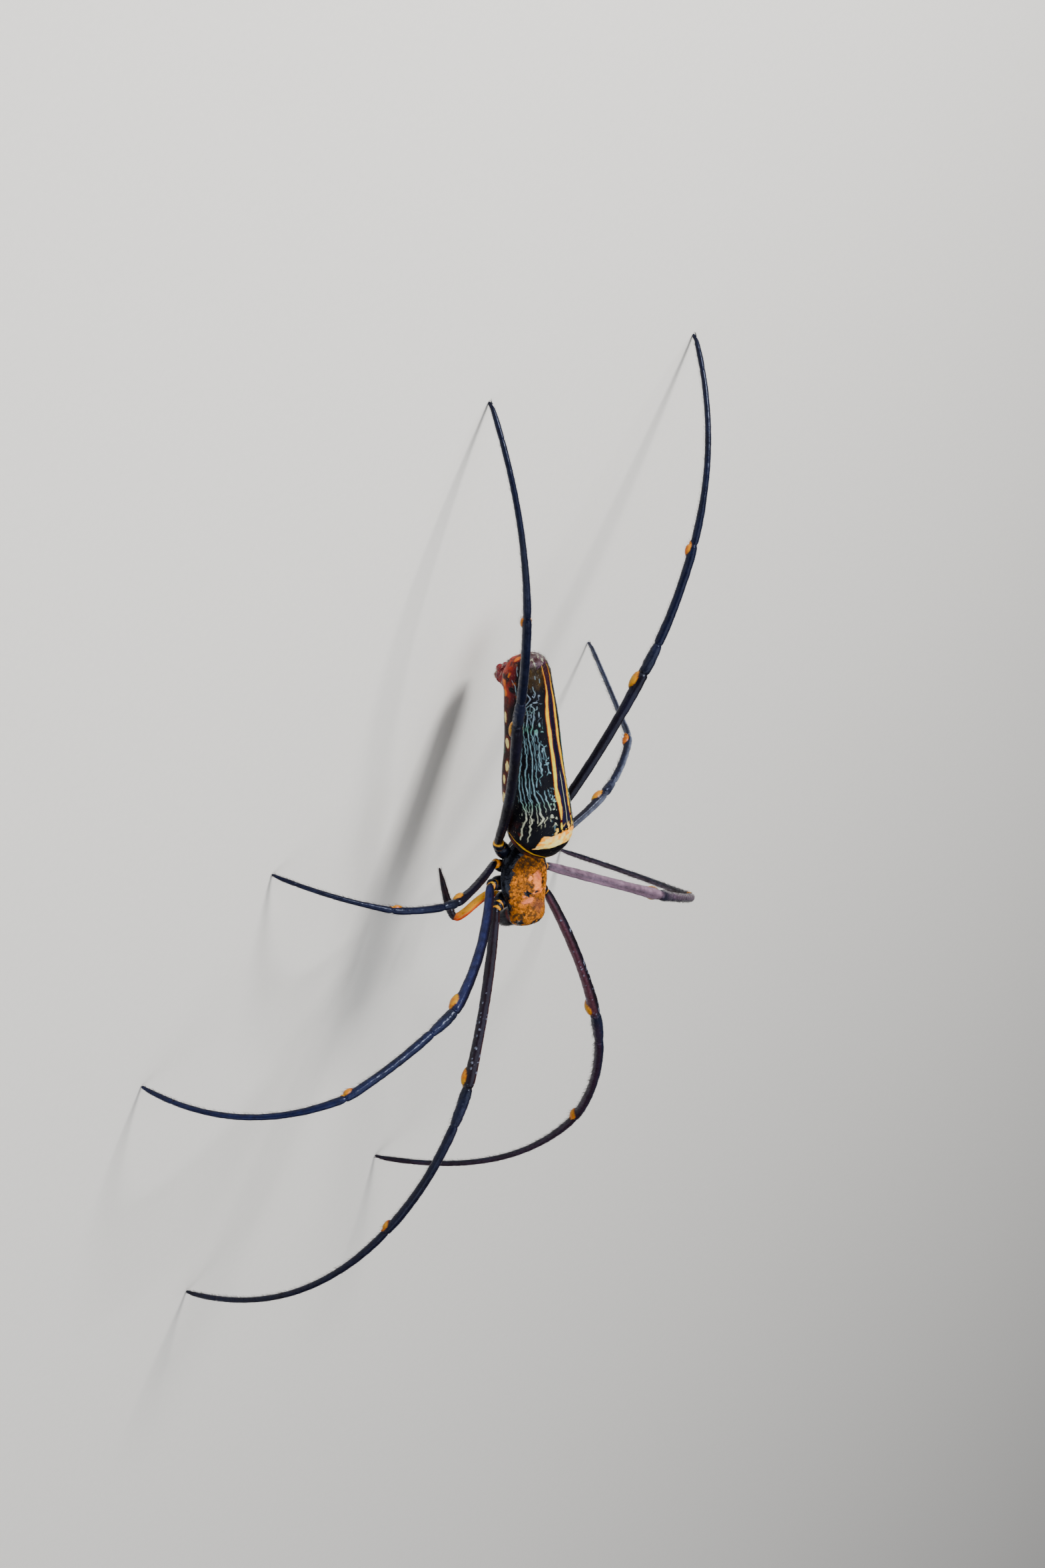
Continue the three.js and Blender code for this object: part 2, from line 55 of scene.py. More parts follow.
# Leg pairs and legs, as in the solids. Lengths are of the femur, of patella and tibia, and of metatarsus and
# tarsus as a chord; metatarsus is its share of that chord
PAIRS = {
    1: dict(
        femur=29.4, tibia=28.9, foot=43, metatarsus=0.86, girth=1,
        hip=[5.5, 10.8, -1.3], root=[2.2, 9.6, -2.4],
    ),
    2: dict(
        femur=25.6, tibia=23.6, foot=32.1, metatarsus=0.84, girth=0.97,
        hip=[6.1, 6.8, -1.9], root=[2.4, 7.3, -2.4],
    ),
    3: dict(
        femur=15.2, tibia=12.6, foot=19.9, metatarsus=0.8, girth=0.8,
        hip=[5.1, 3.1, -1.7], root=[2.4, 5, -2.4],
    ),
    4: dict(
        femur=29, tibia=22.2, foot=34.3, metatarsus=0.83, girth=0.98,
        hip=[5.6, -0.8, -0.2], root=[2.2, 2.7, -2.2],
    ),
}
# foot is the tip from the waist's foot point, rise lifts the knee, lean tips the leg's plane, and bows are
# the heights of the bows of femur, tibia and foot
LEGS = {
    "right_leg_1": dict(side=-1, pair=1, foot=[-27.6, -95.9], rise=33.7, lean=8.7, bows=(0.7, 1.8, 5.2)),
    "right_leg_2": dict(side=-1, pair=2, foot=[-62.9, -36.1], rise=42.3, lean=2.8, bows=(1.3, 0.7, 4.6)),
    "right_leg_3": dict(side=-1, pair=3, foot=[-42.8, -2.6], rise=36.8, lean=-4.8, bows=(0.4, 0.7, 0.9)),
    "right_leg_4": dict(side=-1, pair=4, foot=[-21.7, 78.3], rise=16.5, lean=-28.1, bows=(1.4, 0.7, 3.7)),
    "left_leg_1": dict(side=1, pair=1, foot=[24.7, -90.5], rise=38.1, lean=-23.3, bows=(0.9, 2.1, 6)),
    "left_leg_2": dict(side=1, pair=2, foot=[56, -35.7], rise=48.2, lean=-14.3, bows=(0.6, 0.7, 4.5)),
    "left_leg_3": dict(side=1, pair=3, foot=[39.1, 14], rise=32, lean=7.2, bows=(0.6, 0.7, 0.1)),
    "left_leg_4": dict(side=1, pair=4, foot=[38.9, 74.1], rise=16.7, lean=-0.6, bows=(0.6, 0.7, 2.4)),
}
COXA, FEMUR, TIBIA, METATARSUS, TARSUS = range(5)
PIECES = ("coxa", "femur", "tibia", "metatarsus", "tarsus")
# Radii of the five pieces as [share of the length, radius]
GIRTHS = [
    [[0, 0.95], [0.3, 1.25], [0.6, 1.2], [0.7, 0.95], [0.82, 1.1], [1, 0.85]],
    [[0, 0.66], [0.08, 0.76], [0.3, 0.84], [0.7, 0.84], [0.93, 0.95], [1, 0.88]],
    [[0, 0.86], [0.07, 0.94], [0.18, 0.87], [0.235, 0.74], [0.28, 0.8], [0.6, 0.74], [0.94, 0.76], [1, 0.68]],
    [[0, 0.6], [0.06, 0.66], [0.3, 0.55], [0.9, 0.47], [1, 0.46]],
    [[0, 0.44], [0.3, 0.46], [0.75, 0.38], [1, 0.24]],
]
# Share of the coxa's line where the trochanter starts, and of the tibia's where the patella ends
TROCHANTER = 0.7
PATELLA = 0.235

# Carapace rows [forward, half width, height over the rim]
CARAPACE = [
    [0.2, 1.3, 0.8], [1.2, 2.9, 1.6], [3, 4.2, 2.1], [5.5, 4.8, 2.3], [7.5, 4.75, 2.35],
    [9.5, 4.1, 2.6], [11, 3.5, 2.95], [12.6, 3.35, 3.1], [13.7, 3.1, 2.75], [14.3, 2.5, 2.1],
    [14.6, 1.7, 1.3],
]
RIM = -0.6
CARAPACE_DEPTH = 0.5
HORN = dict(side=1.05, forward=8.6, height=0.75)
STERNUM = [[1.6, 0.7], [3, 1.75], [6, 2.05], [9, 1.8], [10.6, 0.9]]
STERNUM_BOTTOM = -3.5

# Abdomen rows [back, half width, half height, height of the centre]
ABDOMEN = [
    [-2, 0, 0, 4.6], [-1.4, 2.6, 1.9, 4.5], [0, 4.7, 3.5, 4.2], [2.2, 5.9, 4.8, 3.6], [5, 6, 5.2, 3.2],
    [10, 5.5, 5, 2.7], [16, 4.8, 4.4, 2.75], [21, 4.5, 4.1, 2.7], [25.5, 4.2, 3.9, 2.3], [28.8, 4, 3.6, 2],
    [31, 2.9, 2.6, 2.4], [31.8, 1.7, 1.5, 2.7], [32.2, 0, 0, 2.8],
]
SHOULDER_PINCH = 0.25
PINCH_FADE = (4, 14)
PEDICEL = dict(start=[0, 0.3, -0.4], end=[0, -3, -0.1], radius=0.75)
SPINNERETS = dict(
    back=26.9, height=-1.6, aim=[0, 0.33, -0.95], radius=2.1, length=2.5, sunk=1.2,
    teats=[[0.8, -0.8, 1.9], [0.6, 0.05, 1.5], [0.8, 0.85, 1.8]], teat_sunk=0.4, inward=0.12, splay=0.2,
)

# Head parts
CHELICERA = dict(
    top=[1.65, 12.7, -1], tip=[1.45, 14.3, -5.9], bulge=0.5,
    girth=[[0, 1.3], [0.25, 1.5], [0.6, 1.42], [0.9, 1.15], [1, 0.8]],
)
FANG = dict(girth=[[0, 0.34], [0.6, 0.25], [1, 0.04]], drop=0.95, inward=0.5, back=1.8)
PALP = [[0.9, 11.2, -3.6], [3.5, 9.7, -4.7], [9.4, 12.7, -6.9], [9.4, 10.6, -8.5], [9.5, 5, -10.2]]
PALP_GIRTH = [
    [0, 0.7], [0.08, 0.95], [0.16, 0.7], [0.24, 0.76], [0.45, 0.78], [0.55, 0.68], [0.68, 0.74], [0.86, 0.6],
    [1, 0.22],
]
# Eyes as [side, forward, up, radius]
EYES = {
    "front_median": [0.55, 14.2, 1.15, 0.3],
    "rear_median": [0.6, 13.65, 2.05, 0.3],
    "front_side": [2.5, 13.75, 0.35, 0.26],
    "rear_side": [2.75, 13.3, 0.95, 0.26],
}

# Camera: where it looks from, how it is turned, and how far the waist is from the middle of the picture
CAMERA = dict(azimuth=-123.5, elevation=21.7, roll=122.6, distance=800, offset=(-0.269, 8.798))
# Focal length and height of the picture, both in its pixels
FOCAL = 7440
PICTURE_HEIGHT = 2352
SENSOR = 36.0
LENS = SENSOR * FOCAL / PICTURE_HEIGHT


# Numbers along a line

def smoothly(stations, place):
    """Smooth values, not below zero, through rows of [place, value, ...]."""
    rows = np.array(stations, float)
    place = np.asarray(place, float)
    flat = place.ravel()
    k = np.clip(np.searchsorted(rows[:, 0], flat) - 1, 0, len(rows) - 2)
    a, b = rows[k], rows[k + 1]
    t = np.clip((flat - a[:, 0]) / (b[:, 0] - a[:, 0]), 0, 1)[:, None]
    before = rows[np.maximum(k - 1, 0), 1:]
    after = rows[np.minimum(k + 2, len(rows) - 1), 1:]
    value, following = a[:, 1:], b[:, 1:]
    out = 0.5 * (
        2 * value + (following - before) * t + (2 * before - 5 * value + 4 * following - after) * t ** 2
        + (3 * value - before - 3 * following + after) * t ** 3
    )
    return np.maximum(out, 0).reshape(place.shape + (rows.shape[1] - 1,))


def step(x, low, high):
    """0 below low, 1 above high and smooth between; the other way round where low is the larger."""
    t = np.clip((x - low) / (high - low), 0, 1)
    return t * t * (3 - 2 * t)


def window(x, start, full, fading, end):
    """1 from full to fading and 0 outside start and end."""
    return step(x, start, full) * step(x, end, fading)


def hump(x, middle, width):
    """A bell round the middle."""
    return np.exp(-(((x - middle) / width) ** 2))


def share_of(x):
    return np.clip(x, 0, 1)


def unit(vectors):
    vectors = np.asarray(vectors, float)
    return vectors / np.maximum(np.linalg.norm(vectors, axis=-1, keepdims=True), 1e-12)


# Cells of the noise before it repeats
NOISE_SIDE = 32
# A turned frame for noise, so that its cells don't line up with those of other noise
ASKEW = np.array([[0.8, 0.36, -0.48], [-0.6, 0.48, -0.64], [0.0, 0.8, 0.6]])


def noise(points, size, seed):
    """Smooth random values from -1 to 1 at points, alike within about size."""
    table = np.random.default_rng(seed).uniform(-1, 1, NOISE_SIDE ** 3)
    points = np.asarray(points, float)
    q = points.reshape(-1, 3).T / size
    cell = np.floor(q)
    x, y, z = q - cell
    x, y, z = (t * t * (3 - 2 * t) for t in (x, y, z))
    low = cell.astype(np.int64) % NOISE_SIDE
    high = (low + 1) % NOISE_SIDE
    rows = [low[0] * NOISE_SIDE, high[0] * NOISE_SIDE]
    faces = []
    for row in rows:
        near, far = (row + low[1]) * NOISE_SIDE, (row + high[1]) * NOISE_SIDE
        near = table[near + low[2]] * (1 - z) + table[near + high[2]] * z
        far = table[far + low[2]] * (1 - z) + table[far + high[2]] * z
        faces.append(near * (1 - y) + far * y)
    return (faces[0] * (1 - x) + faces[1] * x).reshape(points.shape[:-1])


# Places

def turn_x(angle):
    c, s = math.cos(angle), math.sin(angle)
    return np.array([[1, 0, 0], [0, c, -s], [0, s, c]])


def turn_y(angle):
    c, s = math.cos(angle), math.sin(angle)
    return np.array([[c, 0, s], [0, 1, 0], [-s, 0, c]])


POSTURE = turn_x(-PITCH) @ turn_y(-ROLL)


def on_body(points, hand=1):
    """Points of the floor's frame from [side, forward, up] on the body."""
    local = np.asarray(points, float) * [hand, -1, 1]
    return WAIST + local @ POSTURE.T


def aim_on_body(directions, hand=1):
    """Directions of the floor's frame from [side, forward, up] on the body."""
    local = np.asarray(directions, float) * [hand, -1, 1]
    return local @ POSTURE.T


def turns(sides):
    """Evenly spaced angles round a ring."""
    return np.arange(sides) / sides * FULL_TURN


def slope_normal(surface, along, angle, nudge):
    """Directions square to a surface of two coordinates, from points a nudge away; either face."""
    a = surface(along + nudge, angle) - surface(along - nudge, angle)
    b = surface(along, angle + nudge) - surface(along, angle - nudge)
    return unit(np.cross(a, b))


def arc(a, control, b, t):
    """Points of a quadratic curve."""
    t = np.asarray(t)[:, None]
    return (1 - t) ** 2 * a + 2 * t * (1 - t) * control + t ** 2 * b


def bow_control(a, b, height, back):
    """The control point of an arc from a to b that is bowed by a height towards back."""
    chord = unit(b - a)
    out = unit(back - back.dot(chord) * chord)
    return (a + b) / 2 + 2 * height * out


def through(points, steps):
    """A centripetal Catmull-Rom line through points, as in the solids."""
    points = np.asarray(points, float)
    points = np.vstack([2 * points[0] - points[1], points, 2 * points[-1] - points[-2]])
    out = []
    for k in range(1, len(points) - 2):
        p = points[k - 1:k + 3]
        gaps = np.sqrt(np.linalg.norm(np.diff(p, axis=0), axis=1))
        knots = np.concatenate([[0], np.cumsum(gaps)])
        t = np.linspace(knots[1], knots[2], steps, endpoint=False)[:, None]

        def blend(a, b, low, high):
            return (high - t) / (high - low) * a + (t - low) / (high - low) * b

        a1, a2, a3 = (blend(p[i], p[i + 1], knots[i], knots[i + 1]) for i in range(3))
        b1 = blend(a1, a2, knots[0], knots[2])
        b2 = blend(a2, a3, knots[1], knots[3])
        out.append(blend(b1, b2, knots[1], knots[2]))
    return np.vstack(out + [points[-2:-1]])


def lengths(points):
    """How far each point is along its line."""
    gaps = np.linalg.norm(np.diff(points, axis=0), axis=1)
    return np.concatenate([[0], np.cumsum(gaps)])


def along_line(places, values, wanted):
    """Rows of values at the wanted places of a line."""
    values = np.asarray(values, float)
    if values.ndim == 1:
        return np.interp(wanted, places, values)
    return np.stack([np.interp(wanted, places, column) for column in values.T], axis=-1)


# Colours and materials

def colour(text):
    """Linear red, green and blue of a screen colour."""
    parts = np.array([int(text[i:i + 2], 16) for i in (1, 3, 5)]) / 255
    return np.where(parts <= 0.04045, parts / 12.92, ((parts + 0.055) / 1.055) ** 2.4)


def mix(a, b, share):
    """Colours from a, where the share is 0, to b, where it is 1."""
    share = np.asarray(share)[..., None]
    return a * (1 - share) + b * share


class Nodes:
    """Adds nodes to a new material, with their settings as words and their inputs as values or links."""

    def __init__(self, name):
        self.material = bpy.data.materials.new(name)
        self.material.use_nodes = True
        self.tree = self.material.node_tree
        self.shader = self.tree.nodes["Principled BSDF"]

    def add(self, kind, inputs=None, **settings):
        node = self.tree.nodes.new("ShaderNode" + kind)
        for key, value in settings.items():
            setattr(node, key, value)
        for key, value in (inputs or {}).items():
            self.feed(node, key, value)
        return node

    def feed(self, node, key, value):
        socket = node.inputs[key]
        if isinstance(value, bpy.types.NodeSocket):
            self.tree.links.new(value, socket)
        elif isinstance(value, np.ndarray):
            socket.default_value = (*value, 1)
        else:
            socket.default_value = value

    def shade(self, **inputs):
        for key, value in inputs.items():
            self.feed(self.shader, key.replace("_", " "), value)

    def attribute(self, name, output):
        return self.add("Attribute", attribute_name=name, attribute_type="GEOMETRY").outputs[output]

    def painted(self, size, low, high, detail=3.0):
        """The painted colours, made lighter and darker by specks."""
        paint = self.attribute("paint", "Color")
        return self.times(paint, self.spread(self.specks(size, detail), low, high))

    def specks(self, size, detail=3.0):
        """Noise with features of about a size in millimetres."""
        where = self.add("TexCoord").outputs["Object"]
        inputs = {"Vector": where, "Scale": 1 / (size * MM), "Detail": detail}
        return self.add("TexNoise", inputs).outputs["Fac"]

    def spread(self, fac, low, high):
        return self.add("MapRange", {"Value": fac, "To Min": low, "To Max": high}).outputs["Result"]

    def bump(self, height, distance, normal=None):
        inputs = {"Height": height, "Distance": distance * MM, "Strength": 1.0}
        if normal is not None:
            inputs["Normal"] = normal
        return self.add("Bump", inputs).outputs["Normal"]

    def times(self, colour_socket, fac):
        node = self.add("Mix", data_type="RGBA", blend_type="MULTIPLY")
        node.inputs[0].default_value = 1
        self.tree.links.new(colour_socket, node.inputs[6])
        self.tree.links.new(fac, node.inputs[7])
        return node.outputs[2]


# Tint of the gloss of hard skin
BLUISH = np.array([0.62, 0.72, 1.0])


def cuticle_material(name, rough, coat, grain, ior):
    """Hard shiny skin in its painted colours, with fine grain and slight wear of its gloss."""
    n = Nodes(name)
    base = n.painted(0.5, 0.72, 1.25)
    matt = n.attribute("matt", "Fac")
    gloss = n.spread(n.specks(0.8, 4), rough - 0.07, rough + 0.12)
    roughness = n.add("Math", {0: gloss, 1: matt}, operation="ADD").outputs[0]
    fine = n.bump(n.specks(0.11, 4), 0.012 * grain)
    coarse = n.bump(n.specks(0.5, 2), 0.05 * grain, fine)
    n.shade(Base_Color=base, Roughness=roughness, Normal=coarse, IOR=ior, Specular_Tint=BLUISH)
    n.shade(Coat_Weight=coat, Coat_Roughness=0.15)
    return n.material


def hair_material(name, rough, sheen, ior):
    n = Nodes(name)
    base = n.painted(0.15, 0.75, 1.3, detail=2)
    n.shade(Base_Color=base, Roughness=rough, IOR=ior, Sheen_Weight=sheen, Sheen_Roughness=0.4)
    return n.material


def lens_material():
    n = Nodes("eye_lens")
    base = n.painted(0.2, 0.8, 1.2)
    n.shade(Base_Color=base, Roughness=0.05, IOR=1.6, Coat_Weight=1.0, Coat_Roughness=0.02)
    return n.material


def floor_material():
    n = Nodes("floor")
    grain = n.specks(1.2, 5)
    ramp = n.add("ValToRGB", {"Fac": grain})
    ramp.color_ramp.elements[0].color = (*FLOOR_PALE * 0.94, 1)
    ramp.color_ramp.elements[1].color = (*FLOOR_PALE, 1)
    n.shade(Base_Color=ramp.outputs["Color"], Roughness=0.75, Normal=n.bump(grain, 0.02))
    return n.material


# Meshes

def make_mesh(name, points, faces, material, attributes=None, chart=None, body=BODY):
    """A smooth mesh from points in millimetres and arrays of triangles and quads, riding on the body.
    attributes are colours or numbers for each point, and chart is its place on the unwrapped skin."""
    mesh = bpy.data.meshes.new(name)
    mesh.vertices.add(len(points))
    mesh.vertices.foreach_set("co", (np.asarray(points) * MM).astype(np.float32).ravel())
    corners = np.concatenate([np.asarray(f).ravel() for f in faces]).astype(np.int32)
    sizes = np.concatenate([np.full(len(f), np.asarray(f).shape[1]) for f in faces])
    starts = np.concatenate([[0], np.cumsum(sizes)[:-1]]).astype(np.int32)
    mesh.loops.add(len(corners))
    mesh.loops.foreach_set("vertex_index", corners)
    mesh.polygons.add(len(sizes))
    mesh.polygons.foreach_set("loop_start", starts)
    mesh.polygons.foreach_set("use_smooth", np.ones(len(sizes), bool))
    mesh.update(calc_edges=True)
    for key, values in (attributes or {}).items():
        values = np.asarray(values, np.float32)
        if values.ndim == 2:
            layer = mesh.color_attributes.new(key, "FLOAT_COLOR", "POINT")
            rgba = np.concatenate([values, np.ones((len(values), 1), np.float32)], axis=1)
            layer.data.foreach_set("color", rgba.ravel())
        else:
            mesh.attributes.new(key, "FLOAT", "POINT").data.foreach_set("value", values)
    if chart is not None:
        layer = mesh.uv_layers.new(name="OFBake")
        layer.data.foreach_set("uv", np.asarray(chart, np.float32)[corners].ravel())
    mesh.validate()
    piece = bpy.data.objects.new(name, mesh)
    bpy.context.scene.collection.objects.link(piece)
    mesh.materials.append(material)
    if body:
        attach(piece, body)
    return piece


def grid_normals(grid):
    """Outward normals of a grid of rings, closed the second way round."""
    wrapped = np.concatenate([grid[:, -1:], grid, grid[:, :1]], axis=1)
    around = wrapped[:, 2:] - wrapped[:, :-2]
    onwards = np.gradient(grid, axis=0)
    return unit(np.cross(around, onwards))


def ring_faces(rings, sides):
    """Quads between rings, and the triangles that close each end on the point in its middle."""
    i, j = np.meshgrid(np.arange(rings - 1), np.arange(sides), indexing="ij")
    a = (i * sides + j).ravel()
    b = (i * sides + (j + 1) % sides).ravel()
    quads = np.stack([a, b, b + sides, a + sides], axis=1)
    ring = np.arange(sides)
    following = (ring + 1) % sides
    last = (rings - 1) * sides
    middle = rings * sides
    first_cap = np.stack([np.full(sides, middle), following, ring], axis=1)
    last_cap = np.stack([np.full(sides, middle + 1), last + ring, last + following], axis=1)
    return [quads, first_cap, last_cap]


def with_ends(rings):
    """The values of a grid of rings as rows, and after them the mean of each end ring."""
    rings = np.asarray(rings, float)
    return np.concatenate([rings.reshape((-1,) + rings.shape[2:]), [rings[0].mean(0), rings[-1].mean(0)]])


def tube(name, grid, material, shade, matt=0.0, outward=1):
    """A closed skin over a grid of rings, with a point in the middle of each end."""
    faces = ring_faces(*grid.shape[:2])
    if outward < 0:
        faces = [f[:, ::-1] for f in faces]
    paint = {"paint": with_ends(shade), "matt": with_ends(np.broadcast_to(matt, grid.shape[:2]))}
    return make_mesh(name, with_ends(grid), faces, material, paint)


def round_limb(line, radius, sides, up=(0, 0, 1.0)):
    """Rings round a line."""
    tangent = unit(np.gradient(line, axis=0))
    up = np.asarray(up, float)
    deep = unit(up - (tangent @ up)[:, None] * tangent)
    side = np.cross(tangent, deep)
    angle = turns(sides)
    ring = np.cos(angle)[None, :, None] * deep[:, None] + np.sin(angle)[None, :, None] * side[:, None]
    return line[:, None] + np.asarray(radius)[:, None, None] * ring


def join_tubes(name, grids, material, paint):
    """Several closed tubes as one piece; paint is one colour, or one for each point of each grid."""
    points, faces, shades, count = [], [], [], 0
    for k, grid in enumerate(grids):
        faces += [part + count for part in ring_faces(*grid.shape[:2])]
        points.append(with_ends(grid))
        shades.append(with_ends(paint[k] if isinstance(paint, list) else np.broadcast_to(paint, grid.shape)))
        count += len(points[-1])
    shades = np.concatenate(shades)
    attributes = {"paint": shades, "matt": np.zeros(len(shades))}
    quads = np.concatenate([f for f in faces if f.shape[1] == 4])
    tris = np.concatenate([f for f in faces if f.shape[1] == 3])
    return make_mesh(name, np.concatenate(points), [quads, tris], material, attributes)


# Size of a hair's patch on the unwrapped skin, and how dark its root is
CHART_PATCH = 0.0015
ROOT_SHADE = 0.55


def hairs(name, material, root, normal, lie, length, width, lift, droop, paint, chart):
    """Closed three-sided hairs that taper to a point. lift is the angle over the skin, and droop bends the
    tip back to it. chart is the place of each root on the unwrapped skin."""
    segments = 2
    flat = 0.5
    count = len(root)
    lie = unit(lie - (lie * normal).sum(1, keepdims=True) * normal)
    side = np.cross(lie, normal)
    length, width, lift, droop = (np.broadcast_to(v, count)[:, None] for v in (length, width, lift, droop))
    rings = []
    patch = []
    for k in range(segments + 1):
        t = k / segments
        centre = (
            root - 0.15 * length * (1 - t) * normal * (k == 0)
            + length * t * (np.cos(lift) * lie + np.sin(lift) * normal) - length * droop * t ** 2 * normal
        )
        thick = width / 2 * (1 - t) ** 0.7
        if k == segments:
            rings.append(centre[:, None])
            patch.append(np.zeros((1, 2)))
            break
        corners = np.radians([90, 210, 330])
        ring = [centre + thick * (math.cos(a) * side + flat * math.sin(a) * normal) for a in corners]
        rings.append(np.stack(ring, axis=1))
        patch.append(np.stack([np.cos(corners), np.sin(corners)], axis=1) * CHART_PATCH * (1 - t))
    points = np.concatenate(rings, axis=1)
    patch = np.concatenate(patch)
    per = points.shape[1]
    quads = []
    for k in range(segments - 1):
        quads += [[3 * k + j, 3 * k + (j + 1) % 3, 3 * k + 3 + (j + 1) % 3, 3 * k + 3 + j] for j in range(3)]
    tip = per - 1
    tris = [[tip - 3 + j, tip - 3 + (j + 1) % 3, tip] for j in range(3)] + [[2, 1, 0]]
    starts = (np.arange(count) * per)[:, None, None]
    faces = [(np.array(f)[None] + starts).reshape(-1, len(f[0])) for f in (quads, tris) if f]
    shades = np.repeat(paint, per, axis=0).reshape(count, per, 3)
    shades[:, :3] *= ROOT_SHADE
    where = (np.clip(chart, CHART_PATCH, 1 - CHART_PATCH)[:, None] + patch[None]).reshape(-1, 2)
    attributes = {"paint": shades.reshape(-1, 3)}
    return make_mesh(name, points.reshape(-1, 3), faces, material, attributes, where)


# The colours of the animal and its floor

INK = colour("#07080d")
SOOT = colour("#060507")
NAVY = colour("#0a0f2c")
INDIGO = colour("#10132e")
STEEL = colour("#30364f")
UMBER = colour("#271214")
RUST = colour("#5a1c0c")
BELLY = colour("#32100a")
ROSE = colour("#7a343c")
MAUVE = colour("#6d4c5e")
AMBER = colour("#ef7d00")
TANGERINE = colour("#f09200")
YELLOW = colour("#e6ac00")
LEMON = colour("#c9c238")
FLAME = colour("#e23a00")
CREAM = colour("#ead36a")
STRAW = colour("#e4d650")
MINT = colour("#569a88")
ICE = colour("#6b8f9c")
LAVENDER = colour("#6a7185")
CHALK = colour("#b4b69c")
PLUM = colour("#1b1128")
VIOLET = colour("#4c2152")
TAUPE = colour("#75606c")
DUSK = colour("#8a4a3c")
MAROON = colour("#4c0d10")
CRIMSON = colour("#8e1210")
OLIVE = colour("#2c1f06")
GOLD = colour("#d87e00")
HONEY = colour("#7e4c00")
PEACH = colour("#e8843c")
FLOOR_PALE = colour("#e9e7e2")

CUTICLE = cuticle_material("cuticle", 0.27, 0.0, 0.8, 1.32)
SOFT_SKIN = cuticle_material("soft_skin", 0.34, 0.0, 1.4, 1.38)
ABDOMEN_SKIN = cuticle_material("abdomen_skin", 0.38, 0.0, 0.8, 1.2)
DARK_HAIR = hair_material("bristle", 0.45, 0.0, 1.25)
PALE_HAIR = hair_material("pubescence", 0.45, 0.03, 1.4)
EYE_GLASS = lens_material()
FLOOR = floor_material()


# Legs

# Painted light coming through the skin, and painted highlights, on the faces towards the body, as colour and
# shares of femur and lower leg
BACKLIGHT_PAINT = {
    "right_leg_1": (RUST, 0.65, 0.16),
    "left_leg_1": (mix(ROSE, MAUVE, 0.5) * 0.8, 0.6, 0.15),
    "left_leg_2": (mix(ROSE, LAVENDER, 0.55) * 1.8, 0.95, 0.25),
    "left_leg_3": (LAVENDER * 1.1, 0.9, 0.75),
}
# Painted highlights on the outer faces, as colour and shares of femur and lower leg
SHEEN_PAINT = {
    "right_leg_1": (mix(UMBER, TAUPE, 0.2), 0.12, 0.04),
    "right_leg_2": (colour("#2a3470"), 0.6, 0.18),
    "right_leg_3": (colour("#2c3158"), 0.35, 0.1),
    "left_leg_2": (mix(ROSE, LAVENDER, 0.55) * 1.7, 0.95, 0.3),
    "left_leg_3": (LAVENDER, 0.9, 0.9),
}


# Sides of a leg's skin
LEG_SIDES = 32
# How far the foot's tip is pressed down, so that it has a small flat on the floor
FOOT_PRESS = 0.32
# The bright spots at the joints: half their width in degrees round the leg, how far those at knee and ankle
# swell as shares of the girth, and how dim they are
SPOT_WIDTH = 88
SPOT_SWELL = (0.64, 0.72)
SPOT_DIMNESS = 0.56
# Claws as [degrees to the side, length, radius]
CLAWS = ((-24, 1.0, 0.1), (24, 1.0, 0.1), (0, 0.6, 0.07))


